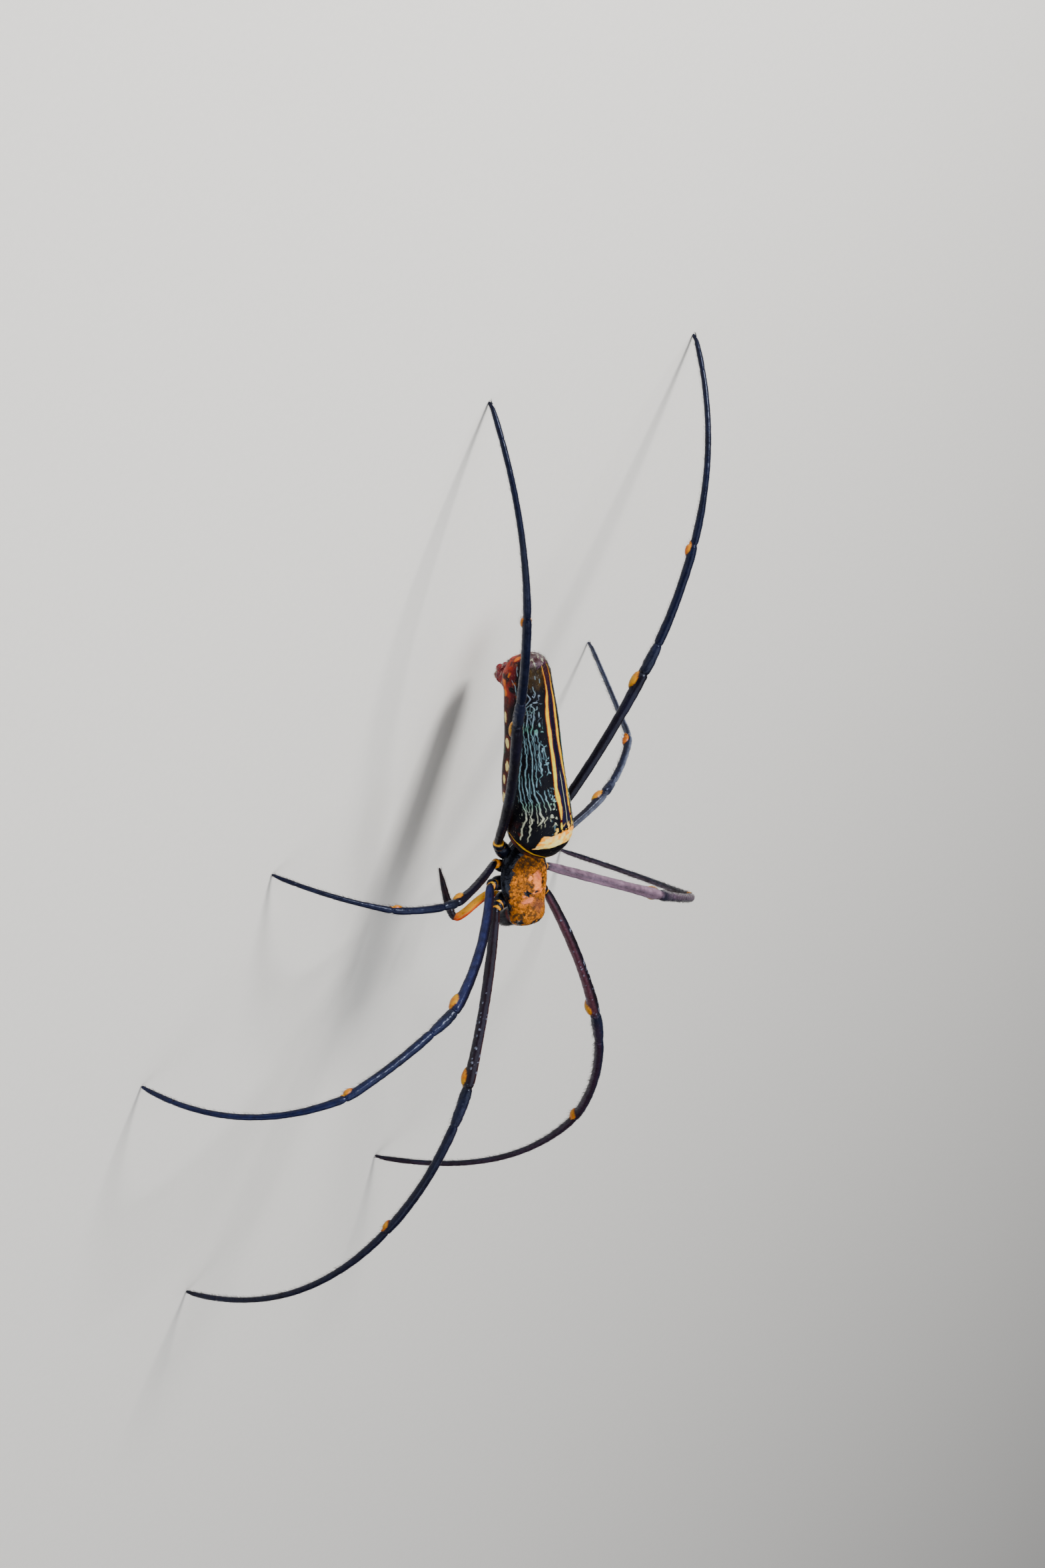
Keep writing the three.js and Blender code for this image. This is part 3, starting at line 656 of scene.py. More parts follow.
class Leg:
    """The centre line of a leg from its root to its tip, with its frame and girth at each point."""

    STEP = 0.16
    ROUNDING = (1.0, 1.2, 0.7, 0.4)

    def __init__(self, name, spec):
        self.name = name
        self.spec = spec
        self.pair = PAIRS[spec["pair"]]
        self.joints()
        self.line()
        self.thickness()

    def joints(self):
        """Places of root, hip, knee, ankle and foot, and the directions of the leg's plane."""
        pair, spec = self.pair, self.spec
        self.hip = on_body(pair["hip"], spec["side"])
        self.root = on_body(pair["root"], spec["side"])
        self.foot = np.array([WAIST[0] + spec["foot"][0], WAIST[1] + spec["foot"][1], FOOT_HEIGHT])
        reach = unit(self.foot - self.hip)
        up = np.array([0, 0, 1.0])
        upright = unit(up - up.dot(reach) * reach)
        lean = math.radians(spec["lean"])
        self.back = math.cos(lean) * upright + math.sin(lean) * np.cross(reach, upright)
        self.across = np.cross(reach, self.back)
        rise = math.radians(spec["rise"])
        self.knee = self.hip + pair["femur"] * (math.cos(rise) * reach + math.sin(rise) * self.back)
        span = self.foot - self.knee
        distance = min(np.linalg.norm(span), pair["tibia"] + pair["foot"] - 0.01)
        span = unit(span)
        out = unit(self.back - self.back.dot(span) * span)
        cosine = (pair["tibia"] ** 2 + distance ** 2 - pair["foot"] ** 2) / (2 * pair["tibia"] * distance)
        self.ankle = self.knee + pair["tibia"] * (cosine * span + math.sqrt(1 - cosine ** 2) * out)

    def line(self):
        """The centre line through all five pieces, with the piece and girth of each point."""
        femur_bow, tibia_bow, foot_bow = self.spec["bows"]
        femur_control = bow_control(self.hip, self.knee, femur_bow, self.back)
        tibia_control = bow_control(self.knee, self.ankle, tibia_bow, self.back)
        foot_control = bow_control(self.ankle, self.foot, foot_bow, self.back)
        share = self.pair["metatarsus"]
        lines = [
            (self.root, (self.root + self.hip) / 2, self.hip, 0, 1),
            (self.hip, femur_control, self.knee, 0, 1),
            (self.knee, tibia_control, self.ankle, 0, 1),
            (self.ankle, foot_control, self.foot, 0, share),
            (self.ankle, foot_control, self.foot, share, 1),
        ]
        centres, pieces, girths = [], [], []
        for k, (a, control, b, start, end) in enumerate(lines):
            length = np.linalg.norm(b - a) * (end - start)
            t = np.linspace(0, 1, max(8, round(length / self.STEP)) + 1)[(1 if k else 0):]
            centres.append(arc(a, control, b, start + (end - start) * t))
            pieces.append(np.full(len(t), k))
            girths.append(smoothly(GIRTHS[k], t)[:, 0] * self.pair["girth"])
        self.centre = np.vstack(centres)
        self.piece = np.concatenate(pieces)
        self.radius = np.concatenate(girths)
        self.along = lengths(self.centre)
        self.starts = [self.along[np.argmax(self.piece == k)] for k in range(5)]
        self.length = self.along[-1]
        self.round_joints()
        self.frame()

    def round_joints(self):
        """Rounds off the corners of the centre line."""
        sharp = self.centre.copy()
        for joint, reach in zip(self.starts[1:], self.ROUNDING):
            near = np.abs(self.along - joint) < reach
            t = (self.along[near] - joint + reach) / (2 * reach)
            a, corner, b = along_line(self.along, sharp, [joint - reach, joint, joint + reach])
            self.centre[near] = arc(a, corner, b, t)

    def frame(self):
        """Directions along the leg, to its back and to its side."""
        tangent = unit(np.gradient(self.centre, axis=0))
        deep = unit(np.cross(self.across, tangent))
        first = int(np.argmax(self.along > self.starts[1] + self.ROUNDING[0]))
        for i in range(first - 1, -1, -1):
            deep[i] = unit(deep[i + 1] - deep[i + 1].dot(tangent[i]) * tangent[i])
        self.tangent = tangent
        self.deep = deep
        self.side = np.cross(tangent, deep)

    def thickness(self):
        """Softens the steps between pieces and adds the creases where one piece is let into the next."""
        window = np.hanning(7)
        window /= window.sum()
        padded = np.pad(self.radius, 3, mode="edge")
        self.radius = np.convolve(padded, window, mode="valid")
        self.creases = [
            (self.starts[COXA] + TROCHANTER * self.starts[FEMUR], 0.2, 0.2),
            (self.starts[FEMUR], 0.16, 0.2),
            (self.starts[TIBIA], 0.2, 0.22),
            (self.patella_end(), 0.16, 0.18),
            (self.starts[METATARSUS], 0.22, 0.2),
            (self.starts[TARSUS], 0.12, 0.16),
        ]
        for place, depth, width in self.creases:
            self.radius *= 1 - depth * hump(self.along, place, width)
        # The rounded end of the foot
        self.radius *= np.sqrt(np.clip((self.length - self.along) / 0.35, 0, 1))

    def patella_end(self):
        return self.starts[TIBIA] + PATELLA * (self.starts[METATARSUS] - self.starts[TIBIA])

    def outward(self, along, angle):
        """Directions straight out of the leg."""
        deep = unit(along_line(self.along, self.deep, along))
        side = unit(along_line(self.along, self.side, along))
        return np.cos(angle)[..., None] * deep + np.sin(angle)[..., None] * side

    def soft_spot(self, along, angle, middle, half_length):
        """How deep a point lies in an oval on the inner side of a joint: below 0 outside, 1 in its middle."""
        turn = (angle + FULL_TURN) % FULL_TURN - np.pi
        return 1 - ((along - middle) / half_length) ** 2 - (turn / math.radians(SPOT_WIDTH)) ** 2

    def knee_spot(self, along, angle):
        girth = self.pair["girth"]
        return self.soft_spot(along, angle, self.starts[TIBIA] - 1.5 * girth, 1.85 * girth)

    def ankle_spot(self, along, angle):
        return self.soft_spot(along, angle, self.starts[METATARSUS] - 0.7, 1.35)

    def ridges(self, angle):
        """Low ridges along the femur."""
        return np.cos(5 * angle + 0.4)

    def surface(self, along, angle):
        """Points of the skin and the outward directions there."""
        centre = along_line(self.along, self.centre, along)
        radius = np.interp(along, self.along, self.radius)
        out = self.outward(along, angle)
        femur, tibia = self.starts[FEMUR], self.starts[TIBIA]
        ridges = 0.035 * window(along, femur, femur + 3, tibia - 4, tibia - 1) * self.ridges(angle)
        spots = (self.knee_spot(along, angle), self.ankle_spot(along, angle))
        bulge = sum(height * share_of(spot) ** 0.6 for height, spot in zip(SPOT_SWELL, spots))
        wobble = 0.05 * noise(centre + out * radius[..., None], 0.8, 11) * step(along, 0, 4)
        knobs = self.on_patella(along) * 0.07 * noise(centre + 1.2 * out, 0.45, 12)
        radius = radius * (1 + ridges + bulge + wobble + knobs)
        point = centre + radius[..., None] * out
        point[..., 2] -= FOOT_PRESS * step(along, self.length - 1.2, self.length - 0.3)
        point[..., 2] = np.maximum(point[..., 2], 0)
        return point, out

    def on_patella(self, along):
        start, end = self.starts[TIBIA], self.patella_end()
        return window(along, start - 0.3, start + 0.6, end - 0.5, end + 0.2)

    def paint(self, along, angle, points):
        """Colour and mattness of the skin."""
        pair = self.spec["pair"]
        cloud = noise(points, 3.5, 21)
        grain = noise(points, 0.7, 22)
        hip, tibia = self.starts[FEMUR], self.starts[TIBIA]
        femur = window(along, hip - 0.2, hip + 1, tibia - 1.5, tibia + 1)
        lower = step(along, tibia, tibia + 4)
        # Blue-black, bluer on the lower leg: partly the skin's own tint, partly painted blue sheen
        shade = mix(INK, NAVY, share_of(0.2 + 0.3 * cloud + 0.3 * lower))
        shade = mix(shade, STEEL, share_of(0.3 * grain) * lower * 0.4)
        out = self.outward(along, angle)
        inner = step(out @ aim_on_body(unit([-0.9, 0.3, 0.3]), self.spec["side"]), 0.25, 0.9)
        shade = mix(shade, UMBER, femur * (0.2 if pair == 1 else 0.12))
        # Painted light coming through the skin and painted highlights on the faces towards the body
        if self.name in BACKLIGHT_PAINT:
            backlight_colour, on_femur, on_lower = BACKLIGHT_PAINT[self.name]
            backlight_share = np.maximum(on_femur * femur, on_lower * lower) * inner
            shade = mix(shade, backlight_colour * (0.9 + 0.3 * cloud)[..., None], backlight_share)
        shade = mix(shade, STEEL, self.on_patella(along) * 0.12)
        # Painted highlights on the outer faces
        if self.name in SHEEN_PAINT:
            sheen_colour, on_femur, on_lower = SHEEN_PAINT[self.name]
            outer = step(out @ aim_on_body(unit([0.8, -0.1, 0.5]), self.spec["side"]), 0.15, 0.95)
            sheen_share = np.maximum(on_femur * femur, on_lower * lower) * outer
            shade = mix(shade, sheen_colour * (0.9 + 0.4 * grain)[..., None], sheen_share)
        # Painted glints: pale specks along the femur's ridges, more towards the knee, kept on the front legs
        # only
        late = step(along, hip + 6, tibia - 8)
        ridge_glints = noise(points @ ASKEW, 0.3, 23) + 0.3 * cloud + 0.3 * late
        ridge_glints = step(self.ridges(angle), -0.6, 0.3) * step(ridge_glints, 0.72, 0.86) * femur
        if pair == 1:
            shade = mix(shade, LAVENDER * 1.3, ridge_glints * 0.8)
        matt = np.zeros_like(along)
        knee = share_of(self.knee_spot(along, angle))
        ankle = share_of(self.ankle_spot(along, angle))
        core = mix(YELLOW, AMBER, share_of(0.3 + 0.6 * grain)) * SPOT_DIMNESS
        membrane = mix(RUST * 1.3, core, step(knee, -0.05, 0.2))
        shade = mix(shade, membrane, step(knee, 0.0, 0.12))
        deeper = mix(YELLOW, AMBER, share_of(0.7 + 0.6 * grain)) * SPOT_DIMNESS
        shade = mix(shade, deeper, step(ankle, 0.0, 0.12))
        matt = matt + 0.08 * np.maximum(knee, ankle)
        return self.paint_hip(along, angle, grain, cloud, shade, matt)

    def paint_hip(self, along, angle, grain, cloud, shade, matt):
        """Broken yellow bands at both ends of the trochanter, nearly all of it yellow on the short legs."""
        low, high = self.creases[0][0], self.creases[1][0]
        bright = mix(YELLOW, AMBER, share_of(0.35 + 0.6 * grain))
        upper = step(np.cos(angle - 0.5 * self.spec["side"]) + 0.35 * cloud, -0.6, 0.1)
        for middle, width in ((low + 0.12, 0.19), (high - 0.14, 0.15)):
            around = middle + 0.1 * np.cos(angle * 2 + 1) + 0.08 * cloud + 0.04 * grain
            edge = step(hump(along, around, width * (0.35 + 0.75 * upper)), 0.35, 0.6)
            shade = mix(shade, bright, edge * 0.95)
            matt = matt + 0.06 * edge
        if self.spec["pair"] == 3:
            knob = window(along, low - 0.1, low + 0.2, high - 0.25, high + 0.1)
            warm = mix(bright, FLAME, share_of(0.2 - 0.5 * cloud))
            shade = mix(shade, warm, knob * (0.35 + 0.6 * upper))
        return shade, matt

    def skin(self):
        fine = np.concatenate([
            np.arange(0, self.length, self.STEP),
            np.linspace(self.length - 0.4, self.length, 8),
        ])
        extra = [np.linspace(place - 0.5, place + 0.5, 11) for place, _, _ in self.creases]
        places = np.unique(np.round(np.concatenate([fine] + extra), 4))
        places = places[(places >= 0) & (places <= self.length)]
        along, angle = np.meshgrid(places, turns(LEG_SIDES), indexing="ij")
        grid, _ = self.surface(along, angle)
        shade, matt = self.paint(along, angle, grid)
        piece = tube(self.name + "_skin", grid, CUTICLE, shade, matt)
        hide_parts(*[f"{self.name}_{part}" for part in PIECES])

    def claws(self):
        """Two claws at the tip of the foot and a small hooked one between them."""
        ahead = self.tangent[-2]
        girth = self.pair["girth"]
        grids = []
        for spread, length, radius in CLAWS:
            angle = math.radians(spread)
            aim = math.cos(angle) * ahead + math.sin(angle) * self.side[-2]
            start = self.foot - 0.3 * aim + [0, 0, 0.08]
            end = self.foot + (length - 0.4) * aim * girth
            end[2] = max(end[2], 0.06)
            t = np.linspace(0, 1, 9)
            line = arc(start, (start + end) / 2 + [0, 0, 0.25], end, t)
            grids.append(round_limb(line, radius * girth * (1 - 0.85 * t), 8))
        join_tubes(self.name + "_claws", grids, CUTICLE, INK * 1.4)


# Bristles tried for each millimetre of leg, and how high their roots and tips stay over the floor
BRISTLES = 50
ROOT_CLEARANCE = 0.12
TIP_CLEARANCE = 0.06


def leg_bristles(legs):
    """Short bristles on every leg: close and standing under tibia and metatarsus, a brush under the foot."""
    rng = np.random.default_rng(31)
    for leg in legs:
        count = int(BRISTLES * leg.length)
        along = rng.uniform(0.5, leg.length - 0.3, count * 3)
        angle = rng.uniform(-np.pi, np.pi, count * 3)
        under = 0.5 - 0.5 * np.cos(angle)
        lower = step(along, leg.starts[TIBIA] - 1, leg.starts[TIBIA] + 3)
        brush = step(along, leg.starts[TARSUS] - 2, leg.starts[TARSUS] + 1)
        wanted = 0.12 + 0.1 * lower + 0.4 * lower * under ** 2 + 0.35 * brush
        keep = rng.uniform(0, 1, count * 3) < wanted
        along, angle = along[keep], angle[keep]
        under, lower, brush = under[keep], lower[keep], brush[keep]
        number = len(along)
        root, out = leg.surface(along, angle)
        lie = along_line(leg.along, leg.tangent, along)
        length = (0.45 + 0.35 * lower * under) * rng.uniform(0.6, 1.3, number) * (1 - 0.3 * brush)
        lift = np.radians(18 + 22 * lower * under + rng.uniform(-8, 12, number))
        tip = root + length[:, None] * (np.cos(lift)[:, None] * lie + (np.sin(lift) - 0.12)[:, None] * out)
        shade = mix(SOOT, UMBER, rng.uniform(0, 0.8, number))
        chart = np.stack([along / leg.length, angle / FULL_TURN + 0.5], axis=1)
        clear = (root[:, 2] > ROOT_CLEARANCE) & (tip[:, 2] > TIP_CLEARANCE)
        hairs(
            leg.name + "_bristles", DARK_HAIR, root[clear], out[clear], lie[clear],
            length[clear], 0.04, lift[clear], 0.12, shade[clear], chart[clear],
        )


# Abdomen

ABDOMEN_START = ABDOMEN[0][0]
ABDOMEN_END = ABDOMEN[-1][0]


def abdomen_point(along, angle):
    """Points of the plain abdomen; angle is 0 on top and positive to the spider's left."""
    width, height, centre = np.moveaxis(smoothly(ABDOMEN, along), -1, 0)
    below = np.maximum(-np.cos(angle), 0)
    held, gone = PINCH_FADE
    pinch = SHOULDER_PINCH * np.clip((gone - along) / (gone - held), 0, 1)
    side = width * np.sin(angle) * (1 - pinch * below)
    return np.stack([side, -along, centre + height * np.cos(angle)], axis=-1)


# The pattern's midline in degrees from the top, as [back, turn], because the abdomen is twisted on its stalk
MIDLINE = [
    [-2, 19], [7, 20], [9, 21], [12, 19.7], [15, 16.8], [18, 12.6], [22, 11.3], [25, 15.3], [28, 17.3],
    [32.2, 18],
]
# The two bold stripes as [back, degrees from the midline, half width in degrees]
STRIPES = [
    [3.4, 14, 1.3], [4.4, 14.5, 2.3], [5.4, 13.5, 1.6], [7, 13, 3.1], [8.6, 15.5, 4.6], [9.6, 16.8, 4],
    [10.6, 17.2, 3.3], [12.6, 14.5, 4.1], [15, 13.2, 3.9], [17, 12.5, 3.7], [19, 12, 4.7], [21, 12.8, 4.5],
    [23.4, 13.5, 4.3], [24.3, 13.2, 3.4], [25, 12.8, 3.9], [26.1, 10.5, 2.8], [27, 10.2, 1.9],
    [28.5, 11.5, 1.3], [30, 12.5, 0.9], [31, 13, 0.5],
]
# Share of their half widths that the pale lines keep
LINE_SHARE = 0.68
# Wavy pale lines of the flank, each as rows of [back, degrees from the midline, half width in mm]
FLANK_LINES = [
    [[2.2, 75.9, 0.08], [4, 71.1, 0.14], [5, 68.8, 0.2], [6.6, 66, 0.13], [8.2, 64.8, 0.14], [9, 68, 0.13],
     [11.4, 74.1, 0.14], [13.6, 72.4, 0.15], [15.8, 68.3, 0.13], [18, 67.6, 0.12], [20, 69.5, 0.09],
     [23.4, 66.9, 0.06]],
    [[2.6, 88, 0.17], [5, 80.8, 0.21], [6.6, 74, 0.19], [8.2, 80.8, 0.15], [9.8, 84.9, 0.12],
     [11.4, 86.6, 0.13], [13.6, 84.4, 0.12], [15.8, 79.3, 0.11], [17, 77.4, 0.05]],
    [[4.9, 58.2, 0.09], [5.3, 52.8, 0.17], [6, 47.9, 0.25], [6.6, 50, 0.26], [8.2, 51.8, 0.16],
     [9.8, 58.9, 0.16], [11.4, 60.1, 0.14], [13.6, 59.8, 0.14], [15.8, 57.2, 0.13], [18, 57.1, 0.14],
     [20, 59.4, 0.12], [21.5, 61.7, 0.13], [23.2, 58.1, 0.13], [24.2, 62.2, 0.14], [24.7, 54.5, 0.12]],
    [[11.2, 53.7, 0.09], [13.6, 52.3, 0.1], [15.8, 50.7, 0.07], [18, 48.6, 0.1], [19.3, 50.3, 0.12],
     [20.2, 52.9, 0.12], [21.5, 48.2, 0.12], [23.3, 45.7, 0.12], [24.2, 47.2, 0.13], [24.8, 54.5, 0.12]],
    [[12.6, 47.2, 0.1], [13.1, 42.3, 0.18], [14, 42.4, 0.18], [15.8, 43.2, 0.15], [18, 39.6, 0.12],
     [18.6, 37.2, 0.06]],
    [[12.8, 33.6, 0.08], [13.4, 28.5, 0.13], [14.2, 28.2, 0.1], [15, 30.3, 0.08], [16.2, 28.6, 0.1],
     [17.9, 29.7, 0.14]],
    [[6.9, 40, 0.07], [8.1, 44.2, 0.1], [9.8, 49.9, 0.13], [10.7, 56.5, 0.1]],
    [[7.1, 32.6, 0.2], [8, 36.1, 0.14], [8.7, 38.5, 0.13], [9.8, 40.9, 0.13], [10.6, 42, 0.08]],
    [[8.7, 64, 0.08], [9.8, 66.9, 0.09], [11.4, 67.1, 0.09], [13.6, 66.3, 0.05]],
    [[5.3, 57.3, 0.09], [7.2, 56.6, 0.08], [8.3, 59.3, 0.08]],
    [[7, 71, 0.05], [8.2, 74.8, 0.08], [9.8, 77.9, 0.08], [11.4, 80.1, 0.07], [13.2, 80.3, 0.04]],
    [[5.2, 44.8, 0.1], [6.3, 39.9, 0.12]],
    [[24.5, 65.7, 0.1], [25.2, 57.5, 0.13], [25.6, 53.3, 0.14], [26.1, 57.7, 0.12], [26.5, 61.5, 0.13],
     [27.3, 58, 0.12]],
    [[25.7, 44.9, 0.1], [26.4, 41.4, 0.14], [27, 44.3, 0.14], [27.6, 46.1, 0.14]],
    [[26, 85.1, 0.06], [27.7, 86.2, 0.13], [28.7, 96, 0.1]],
    [[29.2, 81.6, 0.08], [30, 87.3, 0.11], [30.7, 92.9, 0.08]],
    [[8, 100.6, 0.05], [10.5, 104.6, 0.09], [13, 102.4, 0.08], [14.9, 101, 0.05]],
]
# Short pale marks as [back, degrees from the midline, half length, half width in mm]
FLANK_MARKS = [
    [24.1, 38.5, 0.3, 0.1], [23, 34.2, 0.5, 0.12], [21.4, 34.7, 0.36, 0.13], [20.2, 42.4, 0.5, 0.24],
    [20.1, 29.9, 0.24, 0.22], [25, 42.8, 0.12, 0.42], [6.2, 31.9, 0.28, 0.23], [14.7, 31.1, 0.13, 0.16],
    [15.4, 29.3, 0.12, 0.12], [9.2, 27.5, 0.4, 0.1], [10.4, 34.1, 0.2, 0.08], [7.6, 24.9, 0.35, 0.08],
    [26, 33.2, 0.15, 0.2], [28.3, 27.4, 0.4, 0.07], [28.9, 38, 0.3, 0.08],
]
# Low on the flank: cream spots as [back, degrees from the midline, half length, half width in mm]
FLANK_SPOTS = [
    [22.2, 121, 0.85, 0.42], [18, 115.5, 0.8, 0.62], [14.2, 116.4, 0.75, 0.5], [11.9, 126, 0.7, 0.45],
    [8.9, 126, 0.8, 0.55], [4.8, 139.2, 0.5, 0.3],
]
# Short pale dashes under the spots, with the same four values
DASHES = [
    [16.4, 131.3, 0.5, 0.13], [13.4, 149, 0.5, 0.11], [11, 149.9, 0.4, 0.12], [26, 131, 0.6, 0.13],
    [28.6, 141.5, 0.5, 0.14],
]
# Black pits as [back, degrees from the midline, half length in mm, half width in degrees]
PITS = [[19.4, 30.7, 0.75, 7.5], [11.9, 33.8, 0.95, 11]]
# Degrees round the back from one fine thread to the next
THREAD_GAP = 6.2


def away_from_midline(along, angle):
    """Degrees from the pattern's midline, and which side of it."""
    turn = np.degrees(angle) - smoothly(MIDLINE, along)[..., 0]
    turn = (turn + 180) % 360 - 180
    return np.abs(turn), np.where(turn < 0, -1.0, 1.0)


def oval(along, across, row, away):
    """Distance from the middle of a mark: 1 at its edge."""
    place, turn, half_length, half_width = row
    return np.hypot((along - place) / half_length, (away - turn) * across / half_width)


def pale_marks(along, away, hand, across, points):
    """The wavy lines, short marks and dots of the flank, from 0 to 1."""
    lane = np.stack([along, hand * 7, 0 * along], axis=-1)
    pale = np.zeros_like(along)
    nearest = np.full_like(along, 9.0)
    for k, rows in enumerate(FLANK_LINES):
        first, last = rows[0][0], rows[-1][0]
        centre, half = np.moveaxis(smoothly(rows, along), -1, 0)
        shift = lane + [0, 3.1 * k, 0]
        sway = (1.2 + 0.8 * step(along, 11, 7)) * noise(shift, 0.5, 44)
        sway = sway + 1.6 * noise(shift, 2.5, 45) * (hand > 0)
        swell = 1 + 0.35 * noise(shift, 0.6, 46) + 0.2 * noise(shift, 0.3, 56)
        ends = share_of(np.minimum(along - first, last - along) / 0.25) ** 0.5
        distance = np.abs(away - centre - sway) * across
        reach = LINE_SHARE * half * swell * ends
        line = step(distance, reach + 0.045, reach - 0.045) * (ends > 0)
        pale = np.maximum(pale, line)
        nearest = np.minimum(nearest, distance - reach + 9 * (ends <= 0))
    # Broken threads where the lines leave room
    lanes = (away + 3.2 * noise(lane, 0.9, 66) + 1.5 * noise(lane, 0.4, 68)) / THREAD_GAP
    thread = step(np.abs(lanes % 1 - 0.5) * THREAD_GAP * across, 0.1, 0.045)
    thread = thread * step(noise(points @ ASKEW, 0.9, 67), 0.02, 0.2) * step(nearest, 0.1, 0.2)
    thread = thread * window(away, 26, 30, 84, 92) * window(along, 4, 5, 23.5, 25)
    pale = np.maximum(pale, 0.6 * thread)
    grain = noise(points, 0.35, 42)
    for row in FLANK_MARKS:
        pale = np.maximum(pale, step(oval(along, across, row, away) + 0.3 * grain, 1.25, 0.8))
    curls = step(np.abs(noise(points, 0.5, 47)), 0.12, 0.06) * step(noise(points, 0.6, 57), -0.15, 0.05)
    drops = step(noise(points @ ASKEW, 0.34, 47) + 0.7 * noise(points, 0.3, 65), 0.5, 0.62)
    near = window(away, 19, 22, 31, 38) * window(along, 4.2, 5, 9.5, 11.2)
    near = np.maximum(near, window(away, 22, 24, 34, 38) * window(along, 12, 13, 17.5, 19))
    tail = window(away, 24, 28, 72, 80) * window(along, 21.5, 23, 26, 27.5)
    pale = np.maximum(pale, np.maximum(near * drops, tail * curls))
    return pale


def blue_blots(points, along):
    """Small dark blue blots above the front patch and among the broken marks."""
    return step(noise(points, 0.45, 63), 0.35, 0.5) * window(along, 2.6, 3.4, 5, 6.5) * 0.5


def abdomen_pattern(along, angle, points):
    """Colour, mattness and raised height in millimetres of the abdomen's skin."""
    away, hand = away_from_midline(along, angle)
    width, height, _ = np.moveaxis(smoothly(ABDOMEN, along), -1, 0)
    across = np.maximum((width + height) / 2, 0.05) * np.pi / 180
    cloud = noise(points, 4, 41)
    grain = noise(points, 0.35, 42)
    ragged = noise(points, 0.9, 43) * 0.7 + grain * 0.3
    lane = np.stack([along, hand * 7, 0 * along], axis=-1)

    # Ground: black above, dark red brown below, olive at the tail, rust by the spinnerets and the front flank
    belly = step(away, 96, 112)
    tail = step(along, 26, 28.2) * step(away, 72, 50)
    rust = step(along, 23.5, 26.5) * step(away, 80, 98)
    front_flank = step(away, 74, 90) * step(along, 6, 3) * step(away, 130, 108)
    shade = np.broadcast_to(SOOT, along.shape + (3,)).copy()
    shade = mix(shade, BELLY, belly * share_of(0.6 + 0.5 * cloud))
    shade = mix(shade, RUST, front_flank * step(ragged, 0.1, 0.5) * 0.6)
    shade = mix(shade, OLIVE, tail * share_of(0.65 + 0.6 * ragged))
    streaks = noise(points * [1, 0.4, 1], 0.3, 58)
    shade = mix(shade, OLIVE * 2, tail * step(streaks, 0.25, 0.6) * 0.6)
    blood = mix(MAROON, FLAME * 0.4, step(away, 96, 118))
    shade = mix(shade, blood, rust * step(ragged, -0.45, 0.15))
    shade = mix(shade, AMBER * 0.8, rust * step(noise(points, 1.0, 59), 0.35, 0.55) * 0.7)
    raised = np.zeros_like(along)

    # The lines are lavender grey at the tail, blue green in the middle and chalky at the front
    pale = pale_marks(along, away, hand, across, points)
    hue = noise(lane, 1.6, 48)
    tint = mix(MINT, ICE, step(hue, -0.35, 0.5))
    tint = mix(tint, LAVENDER, step(along, 19, 25) * 0.8)
    tint = mix(tint, CHALK, step(along, 9.5, 5.5) * 0.9)
    tint = tint * (0.8 + 0.25 * grain)[..., None]
    shade = mix(shade, tint, pale)
    blots = (1 - pale) * window(away, 20, 25, 30, 40) * blue_blots(points, along)
    shade = mix(shade, ICE * 0.6, blots)
    raised += 0.045 * pale

    # Black pits where muscles hold the back
    for place, side, length, breadth in PITS:
        reach = np.hypot((along - place) / length, (away - side) / breadth)
        shade = mix(shade, SOOT, step(reach + 0.3 * ragged, 1.15, 0.75))

    # The stripes, with a violet band and a hair line between them
    spread, half = np.moveaxis(smoothly(STRIPES, along), -1, 0)
    nicks = noise(lane, 0.5, 49) * (0.45 + 0.5 * step(along, 10, 7)) + noise(lane, 1.5, 50) * 0.5
    edge = (np.abs(away - spread) - half - nicks) * across
    first, last = STRIPES[0][0], STRIPES[-1][0]
    within = window(along, first, first + 0.35, last - 0.4, last)
    gap = 1 - hump(along, 5.05 + 0.15 * hand, 0.28)
    stripe = step(edge, 0.045, -0.045) * within * step(gap, 0.35, 0.6)
    rim = step(edge, 0.2, 0.03) * window(along, 4, 6, 29, 30.5)
    inside = step(away, spread - half + 1, spread - half - 1) * window(along, 2.8, 4.5, 30.3, 31)
    violet = mix(PLUM, INDIGO, step(along, 22, 9) * 0.7)
    violet = mix(violet, UMBER * 1.3, step(along, 26, 29) * 0.8)
    shade = mix(shade, violet, inside)
    core = step(away, 4.6, 3.4) * inside * step(along, 29, 22) * 0.6
    shade = mix(shade, SOOT, core)
    thread = step(away * across, 0.12, 0.05) * window(along, 3.8, 4.6, 12, 13.2)
    shade = mix(shade, CHALK * 0.7, thread * 0.9)
    shade = mix(shade, FLAME * 0.3, rim * 0.6)
    warm = step(noise(lane, 2.2, 51), -0.1, 0.5)
    gilt = share_of(0.15 + 0.5 * warm + 0.3 * step(along, 18, 26) + 0.6 * (hand > 0))
    stripe_colour = mix(STRAW, YELLOW, gilt) * [0.92, 1.04, 0.8]
    stripe_colour = mix(stripe_colour, LEMON * 0.55, step(along, 24.5, 28) * 0.85) * 0.8
    stripe_colour = mix(stripe_colour, TANGERINE * 0.7, step(np.abs(edge), 0.12, 0.05) * 0.5)
    shade = mix(shade, stripe_colour, stripe)
    raised += 0.04 * stripe

